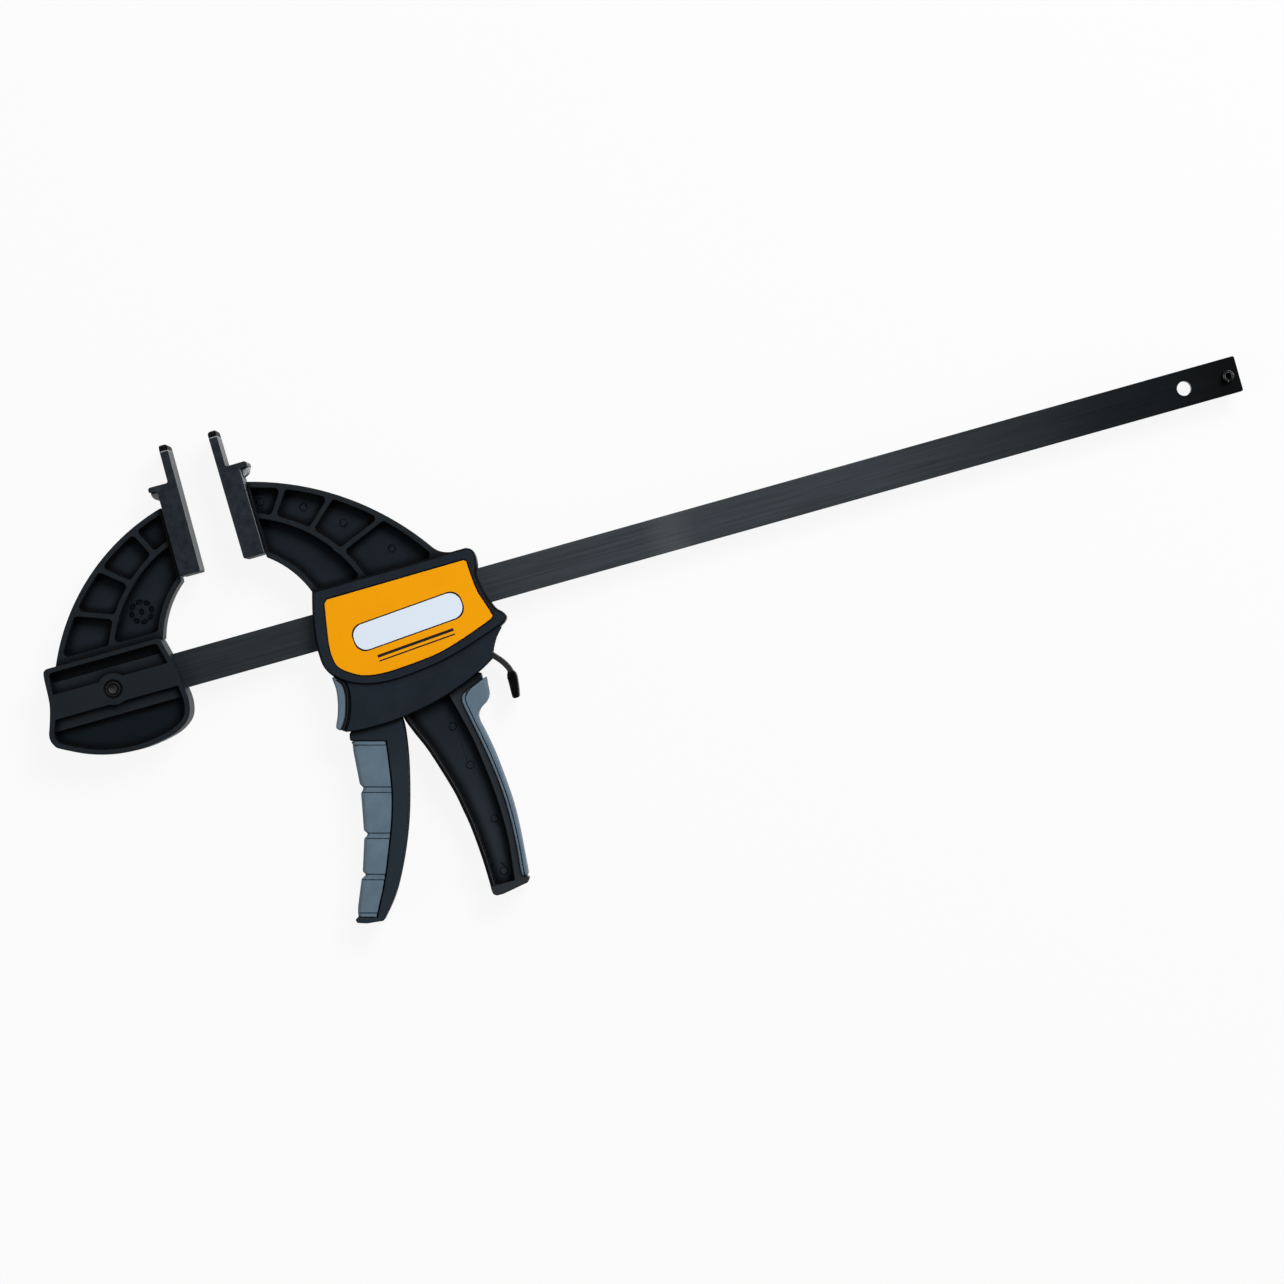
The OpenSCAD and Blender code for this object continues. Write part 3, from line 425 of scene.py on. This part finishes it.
# painted shade colours: near black for rounded edges and tongue ends, and for corners, seams and the
# handle's front flange
paintedShadeBlack = (0.0016, 0.002, 0.0026, 1)
paintedDeepShade = (0.0012, 0.0015, 0.002, 1)
paintedEdgeShade = {"axis": "Z", "range": (1, 0), "from": (0.8, 0.995), "clear": (0.05, 0.35), "color": paintedShadeBlack}
handleZone = {"x": (0, 90), "y": (-200, -49)}  # mm
jawZone = {"x": (-180, -88), "y": (-60, 40)}
bodyNylon = mouldedMaterial("bodyNylon", {
    "dark": (0.0078, 0.0125, 0.0165, 1), "pale": (0.0115, 0.0175, 0.0235, 1),
    "edgeWearAndHighlight": (0.05, 0.055, 0.06, 1), "edgeWearAndHighlightShare": 0.12, "patch": 45,
    "grain": 2400, "cloud": 60, "gloss": (0.42, 0.54), "relief": 0.35, "reliefDepth": 0.00012,
    # painted light and shade among these zones: upper faces painted paler as if better lit than the pocket
    # floors, the handle's front flange painted black as shade, and the jaw's base painted near black as
    # shade in its trench
    "zones": [  # upper faces, then the handle's recess, rear flange and front flange, then the jaw's base
        {"height": (9, 99), "share": 0.7, "color": (0.0122, 0.016, 0.0195, 1)},
        handleZone | {"height": (0, 3), "fade": (-50, -140), "share": 1, "color": (0.022, 0.03, 0.038, 1)},
        handleZone | {"height": (9, 12), "share": 1, "color": (0.0235, 0.029, 0.035, 1)},
        handleZone | {"height": (3, 6.66), "share": 0.9, "color": paintedDeepShade},
        jawZone | {"height": (6, 8), "share": 0.85, "color": (0.003, 0.007, 0.01, 1)},
    ],
    # rounded edges painted near black by facing, corners and seams darkened from ambient occlusion: painted
    # shade
    "walls": paintedEdgeShade,
    "seams": {"reach": 5, "shut": 0.6, "open": 0.96, "color": paintedDeepShade},
    # the front flange's thin ridge painted paler: a painted highlight
    "paintedRidgeHighlight": handleZone | {  # thin ridge on the front flange
        "height": (6.64, 9), "facing": 0.6, "share": 1, "color": (0.034, 0.038, 0.042, 1),
    },
    "constants": {"Specular IOR Level": 0.06},
})
coverNylon = mouldedMaterial("coverNylon", {
    "dark": (0.0092, 0.0142, 0.0198, 1), "pale": (0.0135, 0.0197, 0.0275, 1),
    "edgeWearAndHighlight": (0.05, 0.056, 0.062, 1), "edgeWearAndHighlightShare": 0.1, "patch": 40,
    "grain": 2600, "cloud": 55, "gloss": (0.44, 0.56), "relief": 0.3, "reliefDepth": 0.0001,
    "zones": [{  # the trigger below the skirt
        "x": (-60, 45), "y": (-200, -60), "height": (0, 20), "fade": (-60, -85), "share": 0.85,
        "color": (0.018, 0.0272, 0.0365, 1),
    }],
    # rounded edges painted near black by facing, corners and seams darkened from ambient occlusion: painted
    # shade
    "walls": paintedEdgeShade,
    "seams": {"reach": 3.5, "shut": 0.6, "open": 0.96, "color": paintedDeepShade},
    "constants": {"Specular IOR Level": 0.06},
})
padRubber = mouldedMaterial("padRubber", {
    "dark": (0.009, 0.0128, 0.018, 1), "pale": (0.021, 0.027, 0.034, 1),
    "edgeWearAndHighlight": (0.07, 0.075, 0.08, 1), "edgeWearAndHighlightShare": 0.25, "patch": 70,
    "grain": 1900, "cloud": 240, "gloss": (0.5, 0.64), "relief": 0.5, "reliefDepth": 0.00015,
    # painted light and shade: pale lit-looking faces, a sheen on the gussets, a highlight line and black
    # shade at the tongue ends
    "paintedPadLight": {
        "middle": -56.5, "gussetFrom": 24, "gussetTop": 97.2, "gussetRange": (0.35, 1),
        "gusset": (0.5, 0.52, 0.53, 1), "face": (0.24, 0.25, 0.26, 1), "faceTurn": (0.7, 0.98),
        "faceRange": (0.5, 1), "tipFrom": 118, "tipHighlightWidth": 0.5, "tipHighlightShare": 0.5,
    },
    # faces turned along Y, such as the rounded tongue ends, painted black as shade
    "walls": {"axis": "Y", "range": (0, 1), "from": (0.5, 0.95), "color": paintedShadeBlack},
    "constants": {"Specular IOR Level": 0.06},
})
softGrip = mouldedMaterial("softGrip", {
    "dark": (0.088, 0.133, 0.176, 1), "pale": (0.112, 0.165, 0.214, 1),
    # the grips' rounded rims are painted near black as shade, over the rubbed tint
    "edgeWearAndHighlight": (0.15, 0.21, 0.27, 1), "edgeWearAndHighlightShare": 0.1, "patch": 80, "paintedRimShade": (0.004, 0.006, 0.008, 1),
    "grain": 2600, "cloud": 90, "gloss": (0.55, 0.67), "relief": 0.3, "reliefDepth": 0.0001,
    # painted shade from ambient occlusion along the grips' seams
    "seams": {"reach": 1.2, "shut": 0.5, "open": 0.9, "color": (0.012, 0.018, 0.024, 1)},
    "constants": {"Specular IOR Level": 0.22, "Sheen Weight": 0.05, "Sheen Roughness": 0.5},
})
# black dip of the release tip, also used for the painted shade in the stop pin's bore
blackDipAndBoreShade = mouldedMaterial("blackDipAndBoreShade", {
    "dark": (0.0006, 0.0008, 0.0012, 1), "pale": (0.0012, 0.0014, 0.002, 1),
    "edgeWearAndHighlight": (0.03, 0.03, 0.032, 1), "edgeWearAndHighlightShare": 0.3, "patch": 120,
    "grain": 900, "cloud": 200, "gloss": (0.3, 0.4), "relief": 0.15, "reliefDepth": 0.0002,
    "constants": {"Specular IOR Level": 0.07},
})


# Steel finishes

def ringsRound(tree, color, r):
    # painted light and shade round the pin's own axis: a pale centre painted as light where the bore lies
    # in shade, and a dark ring of painted shade round it
    place = splitOf(tree, "Object")
    aside = [calc(tree, "SUBTRACT", place[axis], at * mm) for axis, at in zip("XY", r["at"])]
    squares = [calc(tree, "MULTIPLY", a, a) for a in aside]
    away = calc(tree, "SQRT", calc(tree, "ADD", *squares))
    for low, high, shade in r["bands"]:
        color = tinted(tree, color, between(tree, away, low, high), shade)
    return color


def oxideAlong(tree, color, patches, o):
    # the dark coat is whole at the bar's free end, thin where the housing slides, and rubbed at one spot
    along = splitOf(tree, "Object")["X"]
    coat = node(tree, "ShaderNodeValToRGB")
    stops = coat.color_ramp.elements
    while len(stops) < len(o["stops"]):
        stops.new(0.5)  # placed just below
    for stop, (at, shade) in zip(stops, o["stops"]):
        stop.position = (at - o["from"]) / (o["to"] - o["from"])
        stop.color = (shade, shade, shade, 1)
    feed(tree, coat.inputs["Fac"], spread(tree, along, 0, 1, o["from"] * mm, o["to"] * mm))
    product = node(tree, "ShaderNodeMix", data_type="RGBA", blend_type="MULTIPLY")
    for key, value in (("A", color), ("B", coat.outputs["Color"]), ("Factor", 1)):
        feed(tree, product.inputs[key], value)
    near = spread(tree, awayFrom(tree, along, o["spot"]), 1, 0, o["spotFull"] * mm, o["spotHalf"] * mm)
    ragged = calc(tree, "MULTIPLY", near, spread(tree, patches, *o["ragged"]))
    return tinted(tree, product.outputs["Result"], ragged, o["spotColor"])


def metalMaterial(name, m):
    # drawn lines in tint, gloss and relief, with scuffs and paler rounded edges, which are partly rubbed
    # wear and partly a painted highlight
    mat, tree, shader = newMaterial(name, m["constants"])
    streaks = placeGroup(tree, drawnStreaks, {"Fine": m["fine"], "Scuff": m["scuff"]})
    color = tinted(tree, m["dark"], spread(tree, streaks["Lines"], 0, 1), m["pale"])
    color = tinted(tree, color, calc(tree, "MULTIPLY", streaks["Scuffs"], m["scuffShare"]), m["scuffed"])
    color = tintedEdges(tree, color, m)
    if "oxide" in m:
        color = oxideAlong(tree, color, streaks["Scuffs"], m["oxide"])
    if "rings" in m:
        color = ringsRound(tree, color, m["rings"])
    wired(tree, shader, color, spread(tree, streaks["Lines"], *m["gloss"]), streaks["Lines"], m)
    return mat


barSteel = metalMaterial("barSteel", {
    "dark": (0.041, 0.05, 0.058, 1), "pale": (0.053, 0.064, 0.073, 1), "scuffed": (0.085, 0.095, 0.103, 1),
    # the paler rubbed colour on the bar's rounded edges is partly wear and partly a painted highlight
    "scuffShare": 0.14, "edgeWearAndHighlight": (0.13, 0.14, 0.15, 1), "edgeWearAndHighlightShare": 0.4, "patch": 30,
    "fine": 1100, "scuff": 24, "gloss": (0.38, 0.48), "relief": 0.2, "reliefDepth": 0.00008,
    "constants": {"Metallic": 0.85, "Specular IOR Level": 0.1},
    "oxide": {  # places along the bar in mm, each stop with what shows through the coat there
        "from": -160, "to": 510, "spot": 183.5, "spotFull": 3.2, "spotHalf": 16,
        "spotColor": (0.078, 0.088, 0.095, 1), "ragged": (0.45, 0.9, 0, 0.6),
        "stops": [
            (-160, 0.6), (-54, 0.75), (110, 1), (200, 1), (300, 0.8), (360, 0.5), (430, 0.2), (500, 0.06),
        ],
    },
})
darkSteel = metalMaterial("darkSteel", {
    "dark": (0.012, 0.016, 0.0175, 1), "pale": (0.022, 0.027, 0.028, 1), "scuffed": (0.06, 0.066, 0.068, 1),
    "scuffShare": 0.25, "edgeWearAndHighlight": (0.1, 0.105, 0.11, 1), "edgeWearAndHighlightShare": 0.3, "patch": 60,
    "fine": 1100, "scuff": 60, "gloss": (0.4, 0.5), "relief": 0.2, "reliefDepth": 0.00008,
    # painted light and shade on the jaw pin's end
    "rings": {  # the jaw pin's axis, then inner radius, outer radius and colour of each ring
        "at": (-132.3, 0),
        "bands": [(0, 2.4, (0.066, 0.073, 0.073, 1)), (2.4, 3.25, (0.0006, 0.0008, 0.001, 1))],
    },
    "constants": {"Metallic": 0.6, "Specular IOR Level": 0.1},
})
stopSteel = metalMaterial("stopSteel", {
    "dark": (0.003, 0.0035, 0.004, 1), "pale": (0.005, 0.0055, 0.006, 1), "scuffed": (0.02, 0.02, 0.02, 1),
    # the pale rubbed colour on the pin's rounded rims is a painted glint
    "scuffShare": 0.1, "edgeWearAndHighlight": (0.5, 0.5, 0.5, 1), "edgeWearAndHighlightShare": 0.9, "patch": 260,
    "fine": 1500, "scuff": 90, "gloss": (0.5, 0.6), "relief": 0.15, "reliefDepth": 0.00006,
    "constants": {"Metallic": 0.7, "Specular IOR Level": 0.1},
})
leverSteel = metalMaterial("leverSteel", {
    "dark": (0.026, 0.027, 0.027, 1), "pale": (0.04, 0.041, 0.041, 1), "scuffed": (0.07, 0.07, 0.07, 1),
    "scuffShare": 0.25, "edgeWearAndHighlight": (0.09, 0.09, 0.09, 1), "edgeWearAndHighlightShare": 0.3, "patch": 90,
    "fine": 1500, "scuff": 90, "gloss": (0.4, 0.52), "relief": 0.15, "reliefDepth": 0.00006,
    "constants": {"Metallic": 0.8, "Specular IOR Level": 0.1},
})
brightSteel = metalMaterial("brightSteel", {
    "dark": (0.3, 0.31, 0.32, 1), "pale": (0.42, 0.42, 0.43, 1), "scuffed": (0.5, 0.5, 0.5, 1),
    "scuffShare": 0.4, "edgeWearAndHighlight": (0.7, 0.7, 0.7, 1), "edgeWearAndHighlightShare": 0.6, "patch": 90,
    "fine": 1500, "scuff": 90, "gloss": (0.28, 0.4), "relief": 0.15, "reliefDepth": 0.00006,
    "constants": {"Metallic": 1.0},
})


# Printed film: orange, with a pale panel in a thin dark border and two rules below it

labelPrint = {
    "middle": (33, -8),  # centre of the pale panel, mm
    "half": (31, 7.2),
    "corner": 6.5,
    "border": 0.7,
    "slant": 4,  # degrees
    "rules": [(12.5, 0.8), (15.2, 0.4)],  # how far below the panel's centre, and half the thickness
    "ruleHalf": 22,
    "orange": (0.87, 0.35, 0.001, 1),
    "orangeDeep": (0.83, 0.318, 0.001, 1),
    "pale": (0.7, 0.78, 0.88, 1),
    "ink": (0.012, 0.012, 0.014, 1),
    "grain": 1500, "cloud": 40, "cloudSpan": (0.4, 0.9),
    "gloss": (0.32, 0.42), "relief": 0.12, "reliefDepth": 0.00005,
    "constants": {"Specular IOR Level": 0.08},
}


def labelMaterial(p):
    mat, tree, shader = newMaterial("labelFilm", p["constants"])
    grain = placeGroup(tree, mouldGrain, {"Grain": p["grain"], "Cloud": p["cloud"]})
    where = node(tree, "ShaderNodeTexCoord")
    place = node(tree, "ShaderNodeMapping", vector_type="TEXTURE")
    place.inputs["Location"].default_value = (p["middle"][0] * mm, p["middle"][1] * mm, 0)
    place.inputs["Rotation"].default_value = (0, 0, math.radians(p["slant"]))
    split = node(tree, "ShaderNodeSeparateXYZ")
    tree.links.new(where.outputs["Object"], place.inputs["Vector"])
    tree.links.new(place.outputs[0], split.inputs[0])
    across, up = split.outputs["X"], split.outputs["Y"]

    def panel(grow):
        # inside of a rounded oblong round the panel's centre
        squares = []
        for source, half in zip((across, up), p["half"]):
            inner = (half - p["corner"] + grow) * mm
            past = calc(tree, "MAXIMUM", calc(tree, "SUBTRACT", calc(tree, "ABSOLUTE", source), inner), 0)
            squares.append(calc(tree, "MULTIPLY", past, past))
        far = calc(tree, "SQRT", calc(tree, "ADD", *squares))
        return calc(tree, "LESS_THAN", far, p["corner"] * mm)

    shade = spread(tree, grain["Shade"], 0, 1, *p["cloudSpan"])
    color = tinted(tree, p["orange"], shade, p["orangeDeep"])
    color = tinted(tree, color, panel(p["border"]), p["ink"])
    color = tinted(tree, color, panel(0), p["pale"])
    rules = [calc(tree, "LESS_THAN", awayFrom(tree, up, -drop), half * mm) for drop, half in p["rules"]]
    inside = calc(tree, "LESS_THAN", calc(tree, "ABSOLUTE", across), p["ruleHalf"] * mm)
    color = tinted(tree, color, calc(tree, "MULTIPLY", calc(tree, "MAXIMUM", *rules), inside), p["ink"])
    gloss = spread(tree, grain["Shade"], *p["gloss"], *p["cloudSpan"])
    wired(tree, shader, color, gloss, grain["Height"], p)
    return mat


labelFilm = labelMaterial(labelPrint)
print("finishes ready")


# Pieces: each takes its CAD solid, merges it, rounds its edges and rides on its body

pieceTable = {  # radii of outer edges and of inner corners, and the shortest edge that is kept, mm
    "mainBody": {
        "node": "main_body", "body": "handle_body", "slot": "body_nylon", "finish": bodyNylon,
        "round": 0.6, "fillet": 0.3, "merge": 0.2,
        "flush": {"from": (0, 34), "to": (7, 40.5), "centre": (-59.2, -4.1), "radius": 77.8},
    },
    "frontCover": {
        "node": "front_cover", "body": "handle_body", "slot": "cover_nylon", "finish": coverNylon,
        "round": 0.64, "fillet": 0.4, "merge": 0.1,
    },
    "rearCover": {
        "node": "rear_cover", "body": "handle_body", "slot": "cover_nylon", "finish": coverNylon,
        "round": 0.3, "fillet": 0.2, "merge": 0.15,
    },
    "coverScrews": {
        "node": "cover_screws", "body": "handle_body", "slot": "bright_steel", "finish": brightSteel,
        "round": 0.2, "fillet": 0, "merge": 0.1,
    },
    "labelFilm": {
        "node": "label", "body": "handle_body", "slot": "label", "finish": labelFilm,
        "round": 0.12, "fillet": 0, "merge": 0.1,
    },
    "movingPad": {
        "node": "moving_pad", "body": "handle_body", "slot": "pad", "finish": padRubber,
        "round": 0.4, "fillet": 0.25, "merge": 0.1,
    },
    "triggerLever": {
        "node": "trigger_lever", "body": "trigger", "slot": "body_nylon", "finish": coverNylon,
        "round": 0.6, "fillet": 0, "merge": 0.2,
    },
    "releaseLever": {
        "node": "release_lever", "body": "release", "slot": "bright_steel", "finish": leverSteel,
        "round": 0.3, "fillet": 0, "merge": 0.1,
    },
    "releaseTip": {
        "node": "release_tip", "body": "release", "slot": "dipped_tip", "finish": blackDipAndBoreShade,
        "round": 0.8, "fillet": 0.8, "merge": 0.1,
    },
    "bar": {
        "node": "bar", "body": "bar_assembly", "slot": "dark_steel", "finish": barSteel,
        "round": 0.35, "fillet": 0, "merge": 0.1,
    },
    "fixedJaw": {
        "node": "fixed_jaw", "body": "bar_assembly", "slot": "body_nylon", "finish": bodyNylon,
        "round": 0.6, "fillet": 0.3, "merge": 0.2, "fillFirst": True,
    },
    "fixedJawPin": {
        "node": "fixed_jaw_pin", "body": "bar_assembly", "slot": "dark_steel", "finish": darkSteel,
        "round": 0.3, "fillet": 0, "merge": 0.1,
    },
    "fixedPad": {
        "node": "fixed_pad", "body": "bar_assembly", "slot": "pad", "finish": padRubber,
        "round": 0.4, "fillet": 0.25, "merge": 0.1,
    },
    "stopPin": {
        "node": "stop_pin", "body": "bar_assembly", "slot": "bright_steel", "finish": stopSteel,
        "round": 0.25, "fillet": 0, "merge": 0.1,
    },
}
insideNodes = ("drive_plate_front", "drive_plate_rear", "trigger_pin")  # shown as the CAD has them
edgeSetup = {
    "weld": 0.002,  # mm
    "flat": 0.4,  # degrees up to which faces count as one flat
    "angle": 32,  # degrees from which an edge is rounded
    "segments": 3,
    "profile": 0.5,
    "shadeWeight": 60,  # how far large faces lead the shading
}


def startCopy(nodeName):
    # welded copy of a CAD solid, with a layer that marks its rounded edges, for their rubbed wear, painted
    # highlights and painted rim shade
    bm = bmesh.new()
    bm.from_mesh(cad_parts[nodeName].data)
    bmesh.ops.remove_doubles(bm, verts=bm.verts, dist=edgeSetup["weld"] * mm)
    bm.faces.layers.float.new("roundedEdgeTint")
    return bm


def roundEdges(bm, radius, convex, angle):
    edgeWearAndHighlight = bm.faces.layers.float["roundedEdgeTint"]
    limit = math.radians(angle)
    sharp = [
        e for e in bm.edges
        if len(e.link_faces) == 2 and e.is_convex == convex and e.calc_face_angle() > limit
    ]
    made = bmesh.ops.bevel(
        bm, geom=sharp, offset=radius * mm, offset_type="OFFSET", affect="EDGES", material=-1,
        segments=edgeSetup["segments"], profile=edgeSetup["profile"], clamp_overlap=False, loop_slide=False,
    )
    if convex:
        for face in made["faces"]:
            face[edgeWearAndHighlight] = 1


def finishPiece(bm, name, p):
    for face in bm.faces:
        face.smooth = True
    piece = meshObject(bm, name, p["finish"])
    shade = piece.modifiers.new("evenShade", "WEIGHTED_NORMAL")
    shade.weight = edgeSetup["shadeWeight"]
    shade.keep_sharp = True
    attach(piece, p["body"])
    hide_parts(p["node"])
    return piece


def flushEnd(bm, f):
    # draws a rib's end back to the curved wall that it runs through
    low, high, centre = Vector(f["from"]) * mm, Vector(f["to"]) * mm, Vector(f["centre"]) * mm
    for vert in bm.verts:
        out = vert.co.xy - centre
        inside = low.x < vert.co.x < high.x and low.y < vert.co.y < high.y
        if inside and out.length < f["radius"] * mm:
            vert.co.xy = centre + out.normalized() * f["radius"] * mm


def roundedCopy(name, p):
    bm = startCopy(p["node"])
    if "flush" in p:
        flushEnd(bm, p["flush"])
    bmesh.ops.dissolve_degenerate(bm, dist=p["merge"] * mm, edges=bm.edges)  # steps too short to round
    flat = math.radians(edgeSetup["flat"])
    bmesh.ops.dissolve_limit(bm, angle_limit=flat, verts=bm.verts, edges=bm.edges)
    steps = [(p["round"], True), (p["fillet"], False)]
    for radius, convex in reversed(steps) if "fillFirst" in p else steps:
        if radius:
            roundEdges(bm, radius, convex, edgeSetup["angle"])
    finishPiece(bm, name, p)


for pieceName, setup in pieceTable.items():
    roundedCopy(pieceName, setup)
for nodeName in insideNodes:
    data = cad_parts[nodeName].data
    data.materials.clear()
    data.materials.append(brightSteel)
print("hard pieces ready:", len(pieceTable))


# Springs: smooth-shaded copies of the CAD coils riding on the handle body; on the clamp they shorten
# towards their fixed ends as the plates and the brake lever move

springTable = {
    "driveSpring": {
        "node": "drive_spring", "body": "handle_body", "slot": "bright_steel", "finish": brightSteel,
        "joint": "drive_slide", "anchor": (45, 0, 15.5), "keep": 0.76,
    },
    "brakeSpring": {
        "node": "brake_spring", "body": "handle_body", "slot": "bright_steel", "finish": brightSteel,
        "joint": "release_hinge", "anchor": (74.5, 14, 15.5), "keep": 0.65,
    },
}
for pieceName, setup in springTable.items():
    coil = finishPiece(startCopy(setup["node"]), pieceName, setup)
    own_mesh(coil)
print("springs ready:", len(springTable))


# Soft grips: the lofted solids shaded as smooth rubber, creased only at their seams

softTable = {
    "handleGrip": {
        "node": "handle_grip", "body": "handle_body", "slot": "soft_grip", "finish": softGrip,
        "trim": {"from": (49.9, -54.8), "to": (64.5, -49)},  # upper end lies along the skirt
    },
    "frontRest": {
        "node": "front_rest", "body": "handle_body", "slot": "soft_grip", "finish": softGrip,
    },
    "triggerGrip": {
        "node": "trigger_grip", "body": "trigger", "slot": "soft_grip", "finish": softGrip,
        "seam": {"gap": 0.8, "facing": 0.6},
    },
}
softRim = {
    "radius": 0.3, "merge": 0.2, "cut": 0.001,  # mm
    "angle": 70, "crease": 34,  # degrees
}


def trimAbove(bm, t):
    run = Vector((t["to"][0] - t["from"][0], t["to"][1] - t["from"][1], 0))
    cut = bmesh.ops.bisect_plane(
        bm, geom=bm.verts[:] + bm.edges[:] + bm.faces[:], dist=softRim["cut"] * mm, clear_outer=True,
        plane_co=Vector((*t["from"], 0)) * mm, plane_no=Vector((-run.y, run.x, 0)).normalized(),
    )
    rim = [g for g in cut["geom_cut"] if isinstance(g, bmesh.types.BMEdge)]
    bmesh.ops.edgeloop_fill(bm, edges=rim)


def openSeam(bm, s):
    # draws the rear wall back from the shell, which leaves a dark line between the two
    bm.normal_update()
    rear = {v for f in bm.faces if f.normal.x > s["facing"] for v in f.verts}
    bmesh.ops.translate(bm, verts=list(rear), vec=(-s["gap"] * mm, 0, 0))


def softCopy(name, p):
    bm = startCopy(p["node"])
    if "seam" in p:
        openSeam(bm, p["seam"])
    if "trim" in p:
        trimAbove(bm, p["trim"])
    bmesh.ops.dissolve_degenerate(bm, dist=softRim["merge"] * mm, edges=bm.edges)
    roundEdges(bm, softRim["radius"], True, softRim["angle"])
    crease = math.radians(softRim["crease"])
    for edge in bm.edges:
        edge.smooth = len(edge.link_faces) == 2 and edge.calc_face_angle() < crease
    finishPiece(bm, name, p)


for pieceName, setup in softTable.items():
    softCopy(pieceName, setup)
print("soft grips ready:", len(softTable))


# Small pieces of the scene's own

def addPiece(bm, name, finish, body):
    piece = meshObject(bm, name, finish)
    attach(piece, body)


# Mould dial: a ring of small raised ovals on the fixed jaw's web

mouldDial = {  # mm, apart from the counts
    "at": (-107, 36.9), "top": 17, "ring": 5.6, "count": 8, "long": 1.55, "short": 0.95, "rise": 0.7,
    "wall": 0.5, "sink": 0.63, "sides": 16,
}


def buildDial(d):
    bm = bmesh.new()
    for k in range(d["count"] + 1):
        turn = 2 * math.pi * k / d["count"]
        far = d["ring"] if k < d["count"] else 0  # the last one is in the middle
        place = Matrix.Translation(Vector((
            d["at"][0] + far * math.cos(turn), d["at"][1] + far * math.sin(turn), d["top"],
        )) * mm)
        shape = Matrix.Rotation(turn, 4, "Z") @ Matrix.Diagonal((d["short"] * mm, d["long"] * mm, mm, 1))
        disc = bmesh.ops.create_circle(
            bm, cap_ends=True, segments=d["sides"], radius=1, matrix=place @ shape,
        )
        face = disc["verts"][0].link_faces[0]
        if face.normal.z < 0:
            bmesh.ops.reverse_faces(bm, faces=[face])
        wall = bmesh.ops.extrude_face_region(bm, geom=[face])
        top = [g for g in wall["geom"] if isinstance(g, bmesh.types.BMFace)]
        lifted = [g for g in wall["geom"] if isinstance(g, bmesh.types.BMVert)]
        bmesh.ops.translate(bm, verts=lifted, vec=(0, 0, d["rise"] * mm))
        bmesh.ops.inset_individual(bm, faces=top, thickness=d["wall"] * mm, depth=-d["sink"] * mm)
    bmesh.ops.recalc_face_normals(bm, faces=bm.faces)
    addPiece(bm, "mouldDial", bodyNylon, "bar_assembly")


buildDial(mouldDial)
print("mould dial ready")


# Stop pin: a black plug in its bore, painted shade for the bore's dark depth

pinBoreShade = {"at": (502.2, 0, 15.5), "radius": 1.75, "deep": 4, "sides": 24}  # mm, apart from the count


def buildPinBoreShade(d):
    bm = bmesh.new()
    bmesh.ops.create_cone(
        bm, cap_ends=True, segments=d["sides"], radius1=d["radius"] * mm, radius2=d["radius"] * mm,
        depth=d["deep"] * mm, matrix=Matrix.Translation(Vector(d["at"]) * mm),
    )
    addPiece(bm, "pinBoreShade", blackDipAndBoreShade, "bar_assembly")


buildPinBoreShade(pinBoreShade)
print("pin fill ready")


print("done")
